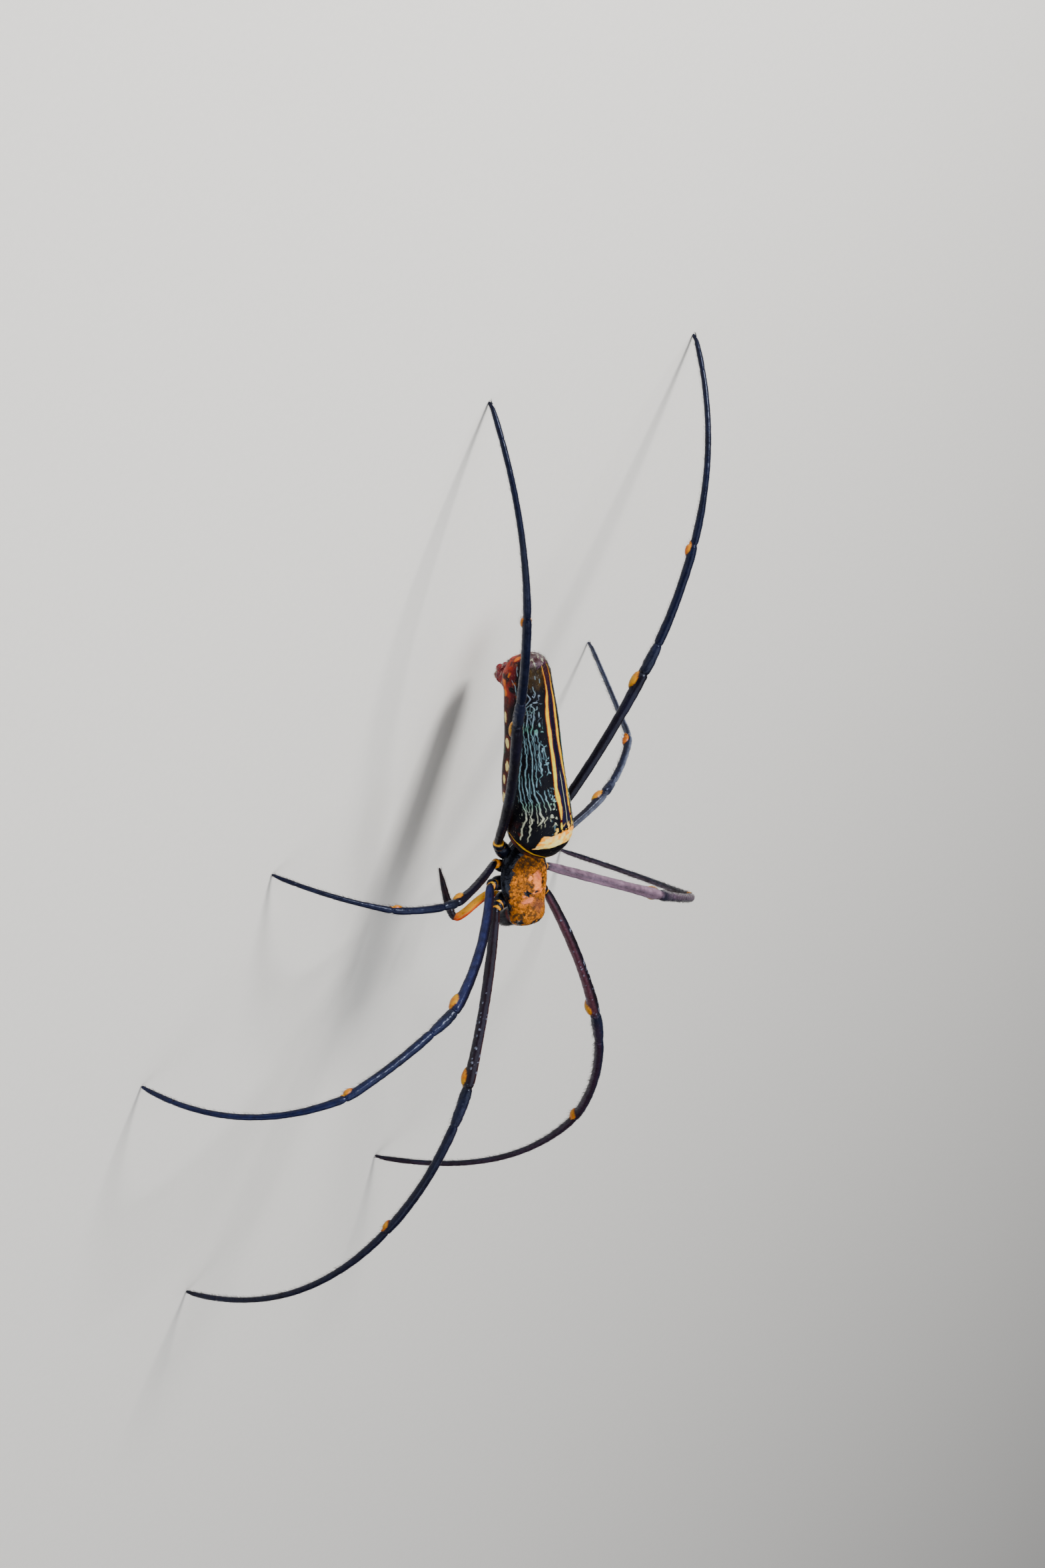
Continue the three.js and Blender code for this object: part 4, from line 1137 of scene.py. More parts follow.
    # The ragged bright patch across the front, deeper orange towards the far side and along its upper edge
    toothed = noise(points, 0.4, 60) * 0.5 + ragged
    low = 0.85 + 0.12 * toothed
    high = 3.05 + 0.3 * toothed - 0.4 * hump(away, 34, 8) - 2.2 * step(away, 44, 72)
    band = window(along, low - 0.08, low + 0.08, high - 0.08, high + 0.08) * step(away, 73, 71)
    flakes = noise(points * [0.6, 1, 1], 0.35, 52)
    golden = 0.8 * step(flakes, -0.1, 0.6) - 0.2 + 0.9 * step(high - along, 1.2, 0)
    golden = golden + 0.35 * step(away * hand, -30, 10)
    band_colour = mix(CREAM, TANGERINE, share_of(golden))
    band_colour = mix(band_colour, CHALK * 1.3, step(flakes, 0.1, -0.5) * 0.35)
    shade = mix(shade, band_colour, band)
    raised += 0.05 * band + 0.03 * band * flakes

    # Loose crumbs of the same colours just behind it
    crumbs = step(noise(points @ ASKEW, 0.42, 64) + 0.6 * grain, 0.25, 0.4)
    crumbs = crumbs * window(along, high, high + 0.15, high + 0.5, high + 1.3)
    shade = mix(shade, mix(CREAM, TANGERINE, 0.4), crumbs * step(away, 34, 24) * 0.9)

    # A yellow line round the front edge, broad at the flank
    brow = np.interp(away, [0, 45, 60, 70, 83, 95, 110], [-1.5, -1.35, -0.75, -0.3, 0.5, 1.7, 3.4])
    broad = np.interp(away, [0, 60, 83, 92, 100, 125], [0.1, 0.12, 0.24, 0.4, 0.12, 0.04])
    thread = step(np.abs(along - brow - 0.08 * ragged), broad + 0.07, broad - 0.07) * step(away, 130, 112)
    shade = mix(shade, mix(YELLOW, OLIVE, share_of(0.35 + 0.3 * ragged)), thread * 0.95)

    # Low flank: cream spots with dark red haloes, and mint dashes
    for row in FLANK_SPOTS:
        reach = oval(along, across, row, away) + 0.2 * grain
        shade = mix(shade, RUST * 1.2, step(reach, 1.9, 1.2) * 0.7)
        shade = mix(shade, mix(CREAM, CHALK, 0.4), step(reach, 1.1, 0.9))
        raised += 0.05 * step(reach, 1.3, 0.8)
    for row in DASHES:
        shade = mix(shade, MINT, step(oval(along, across, row, away) + 0.2 * grain, 1.25, 0.85))

    # Violet grey tip, with an arch in front of it and pale glints
    tip = step(along, 30.4 + 0.3 * ragged, 30.9) * step(away, 88, 70)
    shade = mix(shade, mix(TAUPE * 0.6, UMBER * 1.4, share_of(0.5 + 0.8 * ragged)), tip * 0.9)
    arch = step(np.abs(along - 30.75 + 0.0006 * away ** 2), 0.2, 0.08) * step(away, 34, 26)
    shade = mix(shade, VIOLET, arch * 0.35)
    glint = step(streaks, 0.3, 0.5) * tip
    shade = mix(shade, CHALK * 0.8, glint * 0.6)

    # Underside: a pale bar behind the furrow, and rows of yellow freckles
    bar = step(away, 126, 134) * step(np.abs(along - 8.3 - 0.25 * ragged), 0.5, 0.3)
    shade = mix(shade, mix(CREAM, YELLOW, 0.5) * 0.8, bar)
    freckles = step(noise(points, 0.7, 55), 0.45, 0.58) * step(away, 138, 146) * window(along, 9, 11, 23, 26)
    shade = mix(shade, YELLOW * 0.7, freckles * 0.8)
    matt = 0.1 * stripe + 0.14 * band + 0.06 * pale + 0.04 * grain - 0.12 * tip
    return shade, np.clip(matt, -0.15, 0.4), raised


def abdomen_relief(along, angle, points):
    """Broad relief: shallow folds at the tail, book lung plates, and the furrow across the belly's front."""
    away = np.degrees(np.abs((angle + np.pi) % FULL_TURN - np.pi))
    folds = 0.03 * np.sin(along * 4.2 + 3.5 * noise(points, 2, 61)) * window(along, 25, 29, 30.5, 31.6)
    swell = 0.1 * noise(points, 3.2, 62) * window(along, -1, 2, 28, 31)
    lung = 0.35 * hump(along, 4.8, 1.9) * hump(away, 138, 17)
    furrow = -0.3 * hump(along, 6.9, 0.28) * step(away, 108, 122)
    epigyne = 0.5 * hump(along, 5.7, 0.8) * hump(away, 180, 11)
    tail_knob = 0.3 * hump(along, 30.6, 0.9) * hump(away, 150, 26)
    return folds + swell + lung + furrow + epigyne + tail_knob


def from_middle(local, along):
    """Directions from the abdomen's centre line to points of it."""
    return local - np.stack([0 * along, -along, smoothly(ABDOMEN, along)[..., 2]], axis=-1)


def abdomen_grid(rings, sides):
    """Places of the rings, closer together at both poles, and the angles round them."""
    t = 0.5 - 0.5 * np.cos(np.linspace(0.004, 0.996, rings) * np.pi)
    t = 0.45 * t + 0.55 * np.linspace(0.0008, 0.9992, rings)
    places = ABDOMEN_START + (ABDOMEN_END - ABDOMEN_START) * t
    return np.meshgrid(places, -np.pi + turns(sides), indexing="ij")


def abdomen():
    """The abdomen's skin with its relief and pattern, and its hairs."""
    rings, sides = ((540, 380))
    along, angle = abdomen_grid(rings, sides)
    local = abdomen_point(along, angle)
    shade, matt, raised = abdomen_pattern(along, angle, local)
    relief = raised + abdomen_relief(along, angle, local)
    grid = on_body(local)
    normal = grid_normals(grid)
    outwards = aim_on_body(from_middle(local, along))
    normal = normal * np.sign((normal * outwards).sum(-1, keepdims=True) + 1e-9)
    fade = window(along, ABDOMEN_START, ABDOMEN_START + 0.4, ABDOMEN_END - 0.2, ABDOMEN_END)
    grid = grid + normal * (relief * fade)[..., None]
    skin = tube("abdomen_skin", grid, ABDOMEN_SKIN, shade, matt, outward=-1)
    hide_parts("abdomen")
    abdomen_hairs()


# Hairs tried on the abdomen
ABDOMEN_HAIRS = 9000


def abdomen_hairs():
    """Sparse fine hairs, closer and longer at the tail and on the lung plates."""
    rng = np.random.default_rng(71)
    number = ABDOMEN_HAIRS
    along = rng.uniform(-1.5, 31.8, number)
    angle = rng.uniform(-np.pi, np.pi, number)
    away = np.degrees(np.abs(angle))
    lungs = hump(along, 4.8, 2.2) * hump(away, 138, 22)
    wanted = 0.22 + 0.5 * step(along, 26, 30) + 0.7 * lungs + 0.3 * step(along, 0.5, -1)
    keep = rng.uniform(0, 1, number) < wanted
    along, angle, lungs = along[keep], angle[keep], lungs[keep]
    local = abdomen_point(along, angle)
    normal = slope_normal(abdomen_point, along, angle, 0.02)
    normal *= np.sign((normal * from_middle(local, along)).sum(1, keepdims=True))
    root = local + normal * abdomen_relief(along, angle, local)[:, None]
    lie = [0, -1, 0] + rng.normal(0, 0.25, (len(along), 3))
    number = len(along)
    length = rng.uniform(0.28, 0.6, number) * (1 + 0.7 * lungs + 0.5 * step(along, 28, 31))
    shade = mix(UMBER * 1.5, CHALK * 0.75, rng.uniform(0, 1, number) ** 1.5)
    shade = mix(shade, RUST * 1.6, lungs * 0.8)
    behind = (along - ABDOMEN_START) / (ABDOMEN_END - ABDOMEN_START)
    chart = np.stack([behind, angle / FULL_TURN + 0.5], axis=1)
    hairs(
        "abdomen_hairs", PALE_HAIR, on_body(root), aim_on_body(normal), aim_on_body(lie),
        length, 0.035, np.radians(rng.uniform(22, 48, number)), 0.15, shade, chart,
    )


# Carapace and underside of the front body

# Front of the head as [forward, up], and the place of the pit in the middle
HEAD_END = [14.78, 0.6]
FOVEA = 5.7
# Edge of the coat in degrees from the top, along the carapace
COAT_EDGE = [
    [0.2, 8], [1.5, 14], [2.3, 22], [2.8, 33], [3.6, 41], [5.2, 50], [8, 61], [10.4, 69], [11.5, 78],
    [12.7, 86], [13.6, 84], [14.6, 72],
]
# Patches on the carapace as [side, forward, half width, half length]
BALD = [
    [1.1, 7.1, 1.15, 1.75], [-0.4, 6.3, 0.55, 0.45], [1.2, 8.8, 1.3, 0.42], [-1.3, 9.8, 1.2, 0.55],
    [-2.0, 9.1, 0.4, 0.3],
]
BLACK_MARKS = [
    [2.4, 7.5, 0.27, 0.75], [-1.5, 8.5, 0.55, 0.5], [-1.2, 9.0, 0.3, 0.4], [-2.1, 8.3, 0.3, 0.25],
    [0.5, 8.85, 0.45, 0.2],
]
OLIVE_PATCHES = [
    [-1.2, 3.6, 1.5, 1.3], [0.9, 3.5, 0.8, 0.9], [0, 5.4, 0.6, 0.5], [-0.4, 7.4, 0.7, 0.5],
    [-2.3, 12.2, 0.9, 0.8], [0.2, 13.6, 1.1, 0.5], [2.6, 5.0, 0.8, 0.6],
]
MAUVE_PATCH = [0.5, 11.0, 1.5, 0.8]


def carapace_shape(forward, angle):
    """Points of the carapace; angle is 0 on top, positive to the left and over 90 degrees underneath."""
    width, height = np.moveaxis(smoothly(CARAPACE, forward), -1, 0)
    rise = np.cos(angle)
    under = -np.abs(rise) ** 0.6 * CARAPACE_DEPTH
    up = np.where(rise > 0, rise * height, under)
    return np.stack([np.sin(angle) * width, forward, RIM + up], axis=-1)


def carapace_relief(side, forward, on_top):
    """Raised height of furrows, pits, horns and eye humps over the plain dome."""
    away = np.abs(side)
    fovea = -0.32 * hump(side, 0, 0.75) * hump(forward, FOVEA, 0.33)
    neck_line = 0.45 + 0.92 * np.clip(forward - 6.0, 0, 6)
    neck = -0.2 * hump(away, neck_line, 0.45) * window(forward, 5.8, 6.6, 9.4, 11.2)
    spokes = np.zeros_like(side)
    for heading in (28, 62, 98):
        direction = math.radians(heading)
        x = away * math.sin(direction) + (forward - FOVEA) * -math.cos(direction)
        y = away * math.cos(direction) + (forward - FOVEA) * math.sin(direction)
        spokes -= 0.13 * hump(y, 0, 0.26) * window(x, 1.0, 1.9, 3.6, 4.6)
    head = 0.1 * hump(side, 0, 2.2) * window(forward, 9, 11, 12.6, 14.2)
    lobes = 0.14 * hump(away, 1.5, 0.9) * hump(forward, 7.4, 1.0)
    from_horn = np.hypot((away - HORN["side"]) / 0.26, (forward - HORN["forward"]) / 0.26)
    horn = HORN["height"] * np.exp(-from_horn ** 1.6)
    eyes = np.zeros_like(side)
    for eye_side, eye_forward, _, radius in EYES.values():
        eyes += 0.2 * np.exp(-((away - eye_side) ** 2 + (forward - eye_forward) ** 2) / (radius * 1.5) ** 2)
    return (fovea + neck + spokes + head + lobes + horn + eyes) * on_top


def carapace_surface(forward, angle):
    """Points of the carapace with its relief and its turned out margin."""
    local = carapace_shape(forward, angle)
    on_top = step(np.cos(angle), 0.02, 0.3)
    local[..., 2] += carapace_relief(local[..., 0], forward, on_top)
    margin = hump(np.degrees(np.abs(angle)), 90, 5)
    local[..., 0] += 0.12 * margin * np.sign(local[..., 0]) * step(forward, 13.4, 12)
    local[..., 2] += 0.08 * margin
    return local


def patch(rows, side, forward, seed, ragged):
    """How far points lie in any of the patches, from 0 to 1."""
    spot = np.stack([side, forward, 0 * side], axis=-1)
    rough = ragged * (noise(spot, 0.55, seed) + 0.5 * noise(spot, 0.2, seed))
    inside = np.zeros_like(side)
    for x, y, half_width, half_length in rows:
        reach = np.hypot((side - x) / half_width, (forward - y) / half_length)
        inside = np.maximum(inside, step(reach + rough, 1.15, 0.85))
    return inside


def worn(side, forward):
    """Where the coat is rubbed off the carapace, from 0 to 1."""
    return patch(BALD, side, forward, 81, 0.3)


def dark_marks(side, forward):
    return patch(BLACK_MARKS, side, forward, 82, 0.35)


def coat_share(side, forward, angle):
    """How closely the golden coat covers the carapace, from 0 to 1."""
    spot = np.stack([side, forward, 0 * side], axis=-1)
    edge = smoothly(COAT_EDGE, forward)[..., 0] + 6 * noise(spot, 0.6, 85)
    low = step(np.degrees(np.abs(angle)), edge + 3, edge - 3)
    bare = np.maximum(worn(side, forward), dark_marks(side, forward))
    eyes = np.zeros_like(side)
    for eye_side, eye_forward, _, radius in EYES.values():
        gap = np.hypot(np.abs(side) - eye_side, forward - eye_forward)
        eyes = np.maximum(eyes, step(gap, radius * 1.7, radius * 1.25))
    return low * (1 - bare) * step(forward, 14.6, 14.3) * (1 - eyes)


def carapace():
    """The carapace's skin, closed over the front of the head, and its coat."""
    rings, sides = ((260, 300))
    first, last = CARAPACE[0][0], CARAPACE[-1][0]
    t = np.linspace(0, 1, rings)
    forward_places = first + (last - first) * (0.8 * t + 0.2 * (0.5 - 0.5 * np.cos(np.pi * t)))
    forward, angle = np.meshgrid(forward_places, -np.pi + turns(sides), indexing="ij")
    local = carapace_surface(forward, angle)
    closing = np.linspace(0, 1, 12)[1:-1, None, None]
    tip = np.array([0, HEAD_END[0], HEAD_END[1]])
    bow = np.sqrt(1 - closing ** 2)
    front = np.concatenate([
        tip[:1] + (local[-1:, :, :1] - tip[0]) * bow,
        local[-1:, :, 1:2] + (tip[1] - local[-1:, :, 1:2]) * closing,
        tip[2:] + (local[-1:, :, 2:] - tip[2]) * bow,
    ], axis=-1)
    local = np.concatenate([local, front])
    forward = np.concatenate([forward, np.broadcast_to(front[..., 1], front.shape[:2])])
    angle = np.concatenate([angle, np.broadcast_to(angle[-1:], front.shape[:2])])
    side = local[..., 0]
    cloud = noise(local, 1.6, 83)
    grain = noise(local, 0.3, 84)
    coat = coat_share(side, forward, angle)
    shade = np.broadcast_to(SOOT, side.shape + (3,)).copy()
    shade = mix(shade, mix(HONEY * 0.9, OLIVE * 1.4, share_of(0.5 + 0.8 * grain)), coat)
    shade = mix(shade, mix(PEACH, ROSE * 1.6, share_of(0.2 + 0.5 * cloud)), worn(side, forward))
    shade = mix(shade, INK, dark_marks(side, forward))
    matt = 0.38 * coat + 0.2 * worn(side, forward) - 0.16
    skin = tube("carapace_skin", on_body(local), SOFT_SKIN, shade, matt, outward=-1)
    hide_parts("carapace")
    carapace_coat()


# Tufts tried on the carapace, and where they are as close as can be
COAT_TUFTS = 54000
WIDEST = 4.8


def carapace_coat():
    """Close, short, golden hair towards the head's middle and front, rougher round the bald places."""
    rng = np.random.default_rng(91)
    number = COAT_TUFTS
    first, last = CARAPACE[0][0], CARAPACE[-1][0]
    forward = rng.uniform(first, last, number)
    angle = rng.uniform(-1.5, 1.5, number)
    local = carapace_surface(forward, angle)
    side = local[:, 0]
    width = smoothly(CARAPACE, forward)[:, 0]
    wanted = coat_share(side, forward, angle) * width / WIDEST
    wanted = np.maximum(wanted, 0.07 * worn(side, forward) * width / WIDEST)
    clump = noise(local, 0.5, 92)
    keep = rng.uniform(0, 1, number) < wanted * (0.8 + 0.3 * clump)
    forward, angle, local, side = forward[keep], angle[keep], local[keep], side[keep]
    normal = slope_normal(carapace_surface, forward, angle, 0.03)
    normal *= np.sign(normal[:, 2:3] + 1e-9)
    count = len(side)
    whirl = 0.9 * noise(local, 1.3, 93)
    lie = np.stack([-0.35 * side + whirl, np.ones(count), 0.6 * noise(local, 1.1, 94)], axis=1)
    lie += rng.normal(0, 0.6, (count, 3))
    fleck = noise(local, 0.28, 95) + 0.5 * rng.normal(0, 0.5, count)
    broad = noise(local, 1.1, 96)
    shade = mix(HONEY, GOLD, step(fleck + 0.3 * broad, -0.35, 0.25))
    shade = mix(shade, TANGERINE * 1.15, step(fleck, 0.25, 0.7) * 0.8)
    shade = mix(shade, OLIVE * 1.5, step(-fleck, 0.2, 0.6) * 0.75)
    olive = patch(OLIVE_PATCHES, side, forward, 97, 0.5)
    shade = mix(shade, OLIVE * 1.4, olive * step(fleck, 0.75, -0.2) * 0.85)
    mauve = patch([MAUVE_PATCH], side, forward, 98, 0.5)
    shade = mix(shade, DUSK, mauve * 0.6)
    shade = mix(shade, PEACH * 1.1, worn(side, forward))
    shade *= rng.uniform(0.75, 1.2, (count, 1))
    chart = np.stack([(forward - first) / (last - first), angle / FULL_TURN + 0.5], axis=1)
    length = rng.uniform(0.22, 0.44, count) * (0.75 + 0.25 * step(forward, 13.8, 12))
    hairs(
        "carapace_coat", PALE_HAIR, on_body(local), aim_on_body(normal),
        aim_on_body(lie), length, rng.uniform(0.07, 0.12, count), np.radians(rng.uniform(8, 36, count)),
        0.1, shade, chart,
    )


def underside():
    """Soft sides and the sternum, in one skin below the carapace."""
    rings, sides = 90, 96
    forward, angle = np.meshgrid(np.linspace(0.7, 12.7, rings), -np.pi + turns(sides), indexing="ij")
    carapace_half = smoothly(CARAPACE, forward)[..., 0]
    plate_half = smoothly([[0, 0.2]] + STERNUM + [[12, 0.7], [13, 0.5]], forward)[..., 0]
    down = share_of(-np.cos(angle))
    top_half = 0.78 * carapace_half
    low_half = plate_half + 0.9
    half = top_half + (low_half - top_half) * down ** 0.8
    closing = np.sqrt(share_of(1 - ((forward - 6.7) / 6.02) ** 8))
    side = half * np.sin(angle) * closing
    depth = (STERNUM_BOTTOM + 0.15 - RIM) * np.sqrt(down) * (0.6 + 0.4 * closing)
    up = RIM - 0.1 + np.where(np.cos(angle) > 0, 0.15, depth)
    plate = step(np.abs(side), plate_half + 0.1, plate_half - 0.15) * step(-np.cos(angle), 0.3, 0.6)
    inside = window(forward, 1.6, 1.9, 10.4, 10.7)
    up = up - 0.22 * plate * inside
    humps = np.zeros_like(side)
    for place in (3.3, 5.2, 7.2, 9.3):
        humps += hump(forward, place, 0.45) * hump(np.abs(side), plate_half - 0.45, 0.35)
    up = up - 0.14 * humps * plate
    local = np.stack([side, forward, up], axis=-1)
    grain = noise(local, 0.4, 101)
    shade = mix(INK, UMBER, share_of(0.4 + 0.5 * grain))
    shade = mix(shade, mix(UMBER * 1.2, RUST, 0.3 + 0.2 * grain), plate * inside)
    shade = mix(shade, AMBER * 0.8, plate * inside * hump(side, 0, 0.45) * step(forward, 2.2, 3.4) * 0.7)
    skin = tube("front_body_underside", on_body(local), SOFT_SKIN, shade, 0.1, outward=-1)
    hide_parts("sternum")
    sternum_hairs()


def sternum_hairs():
    """Fine hairs that lie forwards on the sternum."""
    rng = np.random.default_rng(103)
    number = 1500
    forward = rng.uniform(1.8, 10.4, number)
    half = smoothly(STERNUM, forward)[:, 0]
    side = rng.uniform(-1, 1, number) * half * 0.95
    root = np.stack([side, forward, np.full(number, STERNUM_BOTTOM - 0.12)], axis=1)
    down = np.broadcast_to([0.0, 0, -1], (number, 3))
    lie = np.stack([rng.normal(0, 0.3, number), np.ones(number), 0 * side], axis=1)
    shade = mix(UMBER * 1.5, HONEY, rng.uniform(0, 1, number))
    chart = np.stack([forward / 12, side / 5 + 0.5], axis=1)
    hairs(
        "sternum_hairs", PALE_HAIR, on_body(root), aim_on_body(down), aim_on_body(lie),
        rng.uniform(0.3, 0.6, number), 0.035, np.radians(rng.uniform(20, 45, number)), 0.1, shade, chart,
    )


def pedicel():
    """The ringed stalk between the two parts of the body."""
    start, end = np.array(PEDICEL["start"], float), np.array(PEDICEL["end"], float)
    t = np.linspace(0, 1, 48)
    line = on_body(start + (end - start) * t[:, None])
    rings = 7
    radius = PEDICEL["radius"] * (1 + 0.07 * np.cos(t * FULL_TURN * rings) + 0.12 * (2 * t - 1) ** 2)
    grid = round_limb(line, radius, 36)
    grain = noise(grid, 0.3, 111)
    shade = mix(UMBER, INK, share_of(0.5 + 0.6 * grain))
    skin = tube("pedicel_skin", grid, SOFT_SKIN, shade, 0.1)
    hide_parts("pedicel")


# Head

EYE_CUP = colour("#0a0606")
EYE_GLOW = colour("#2a1208")
EYE_RING = colour("#6b4a1c")
# How much larger than the solid an eye's glossy ball is
EYE_GROWTH = 1.04


def eyes():
    """A glossy dark ball for each eye, with a paler ring."""
    for (row, (side, forward, up, radius)), (word, hand) in itertools.product(EYES.items(), HANDS):
        name = f"{word}_eye_{row}"
        centre = on_body([side, forward, up], hand)
        aim = unit(aim_on_body([side * 0.35, 1.0, 0.35 + 0.5 * (up - 1)], hand))
        t = np.linspace(0.02, math.pi - 0.02, 26)
        line = centre + radius * EYE_GROWTH * np.cos(t)[:, None] * -aim
        grid = round_limb(line, radius * EYE_GROWTH * np.sin(t), 36, up=(0.3, 0.2, 1.0))
        facing = ((grid - centre) @ aim) / radius
        shade = mix(EYE_CUP, EYE_GLOW, step(facing, 0.5, 1.0) * 0.7)
        shade = mix(shade, EYE_RING, step(np.abs(facing - 0.25), 0.16, 0.06) * 0.6)
        ball = tube(name + "_lens", grid, EYE_GLASS, shade)
        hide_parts(name)


def chelicerae():
    """The two stout chelicerae, pressed flat against each other, with their fangs, teeth and hairs."""
    for name, hand in HANDS:
        top = np.array(CHELICERA["top"], float)
        tip = np.array(CHELICERA["tip"], float)
        ahead = np.array([0, 1.0, 0])
        control = bow_control(top, tip, CHELICERA["bulge"], ahead)
        t = np.linspace(0, 1, 90)
        line = on_body(arc(top, control, tip, t), hand)
        radius = smoothly(CHELICERA["girth"], t)[:, 0]
        radius = radius * np.sqrt(share_of((1.02 - t) / 0.05))
        grid = round_limb(line, radius, 64, up=aim_on_body([0, 1, 0]))
        inner = aim_on_body([1, 0, 0])
        over = (grid - WAIST) @ inner
        limit = 0.1
        pressed = np.where(hand * over < limit, limit - hand * over, 0) * hand
        grid = grid + pressed[..., None] * inner
        grain = noise(grid, 0.6, 121)
        shade = mix(SOOT, UMBER, share_of(0.1 + 0.4 * grain))
        shade = mix(shade, RUST, step(t, 0.9, 1)[:, None] * 0.7)
        boss = hump(t, 0.09, 0.05)[:, None] * (hand * over > 2.3)
        shade = mix(shade, RUST, boss)
        grid = grid + 0.06 * noise(grid, 1.1, 122)[..., None] * unit(grid - line[:, None])
        block = tube(name + "_chelicera_skin", grid, CUTICLE, shade, 0.02)
        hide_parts(name + "_chelicera")
        fang(name, hand, tip)
        chelicera_hairs(name, hand, grid, line, t)


# Teeth along the inner edge of each chelicera
TEETH = 4


def fang(name, hand, tip):
    """The folded fang under a chelicera, and the teeth behind it."""
    root = tip + [0, -0.1, 0.4]
    control = tip + [0, -0.3, -FANG["drop"] - 0.3]
    end = tip + [-FANG["inward"], -FANG["back"] - 0.1, -FANG["drop"] - 0.3]
    t = np.linspace(0, 1, 40)
    line = on_body(arc(root, control, end, t), hand)
    radius = smoothly(FANG["girth"], t)[:, 0] * 1.15
    grid = round_limb(line, radius, 24, up=aim_on_body([1, 0, 0.2]))
    shade = mix(MAROON, INK, step(t, 0.15, 0.6)[:, None] * np.ones(24))
    blade = tube(name + "_fang_blade", grid, CUTICLE, shade)
    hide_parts(name + "_fang")
    teeth = []
    for k in range(TEETH):
        start = tip + [-0.35, -0.25 - 0.17 * k, 0.25]
        reach = np.linspace(0, 1, 6)
        spike = on_body(start + reach[:, None] * np.array([-0.05, -0.1, -0.6]), hand)
        teeth.append(round_limb(spike, 0.13 * (1 - 0.9 * reach), 8, up=(1.0, 0, 0)))
    join_tubes(name + "_cheliceral_teeth", teeth, CUTICLE, INK)


def chelicera_hairs(name, hand, grid, line, t):
    """Stiff hairs on the front and inner faces."""
    rng = np.random.default_rng(131 + hand)
    rows = rng.integers(8, 84, 900)
    columns = rng.integers(0, grid.shape[1], 900)
    root = grid[rows, columns]
    out = unit(root - line[rows])
    forwards = out @ aim_on_body([0, 1, 0]) > -0.2
    root, out, rows = root[forwards], out[forwards], rows[forwards]
    lie = unit(line[np.minimum(rows + 2, 89)] - line[rows - 2]) + rng.normal(0, 0.15, (len(root), 3))
    count = len(root)
    shade = mix(SOOT, UMBER, rng.uniform(0, 1, count))
    chart = np.stack([t[rows], columns[forwards] / grid.shape[1]], axis=1)
    hairs(
        name + "_chelicera_hairs", DARK_HAIR, root, out, lie,
        rng.uniform(0.35, 0.75, count), 0.04, np.radians(rng.uniform(20, 45, count)), 0.1, shade, chart,
    )


# Shares of the palp's length where its joints are, and how deep the crease is at each
PALP_JOINTS = ((0.13, 0.1), (0.2, 0.12), (0.5, 0.12), (0.6, 0.08), (0.74, 0.08))
PALP_SLIMNESS = 0.88
PALP_SIDES = 32
PALP_HAIRS = 2600


def palps():
    """The two palps with their bright femora and dark furry ends."""
    for name, hand in HANDS:
        points = through(PALP, 60)
        t = np.linspace(0, 1, len(points))
        line = on_body(points, hand)
        radius = smoothly(PALP_GIRTH, t)[:, 0] * PALP_SLIMNESS
        for joint, depth in PALP_JOINTS:
            radius = radius * (1 - depth * hump(t, joint, 0.008))
        radius = radius * np.sqrt(share_of((1.003 - t) / 0.02))
        tangent = unit(np.gradient(line, axis=0))
        deep = np.zeros_like(line)
        deep[0] = unit(np.cross(tangent[0], [0.3, 0.2, 1.0]))
        for i in range(1, len(line)):
            deep[i] = unit(deep[i - 1] - deep[i - 1].dot(tangent[i]) * tangent[i])
        side = np.cross(tangent, deep)
        angle = turns(PALP_SIDES)
        out = np.cos(angle)[None, :, None] * deep[:, None] + np.sin(angle)[None, :, None] * side[:, None]
        grid = line[:, None] + radius[:, None, None] * out
        grid = grid + 0.03 * noise(grid, 0.8, 141)[..., None] * out
        grain = noise(grid, 0.5, 142)
        share = np.broadcast_to(t[:, None], grain.shape)
        shade = mix(UMBER, INK, share_of(0.4 + 0.6 * grain))
        femur = window(share, 0.15, 0.19, 0.48, 0.52)
        below = step(out @ aim_on_body(unit([0.24, 0.95, 0.2]), hand), 0.0, 0.6)
        shade = mix(shade, mix(YELLOW, AMBER, share_of(0.3 + 0.3 * grain + 0.6 * below)) * 0.8, femur)
        shade = mix(shade, FLAME * 0.75, femur * np.maximum(step(share, 0.42, 0.5) * 0.8, below) * 0.9)
        skin = tube(name + "_palp_skin", grid, SOFT_SKIN, shade, -0.05)
        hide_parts(name + "_palp")
        palp_hairs(name, hand, grid, out, tangent, t)


def palp_hairs(name, hand, grid, out, tangent, t):
    """Hairs that get closer and longer towards the palp's end."""
    rng = np.random.default_rng(151 + hand)
    rows = (len(t) * rng.uniform(0.15, 0.985, PALP_HAIRS)).astype(int)
    wanted = 0.18 + 0.6 * step(t[rows], 0.55, 0.75)
    rows = rows[rng.uniform(0, 1, PALP_HAIRS) < wanted]
    columns = rng.integers(0, PALP_SIDES, len(rows))
    count = len(rows)
    fur = mix(INK, UMBER * 1.8, rng.uniform(0, 1, count))
    length = rng.uniform(0.35, 0.8, count) * (0.6 + 0.5 * step(t[rows], 0.5, 0.8))
    chart = np.stack([t[rows], columns / PALP_SIDES], axis=1)
    hairs(
        name + "_palp_hairs", DARK_HAIR, grid[rows, columns], out[rows, columns],
        tangent[rows], length, 0.04, np.radians(rng.uniform(22, 42, count)), 0.12, fur, chart,
    )


# Spinnerets

TEAT_SIDES = 32
TEAT_RINGS = 40
# Share of the solids' spacing at which the teats stand, drawn in towards the middle of the cluster
DRAWN_IN = 0.75


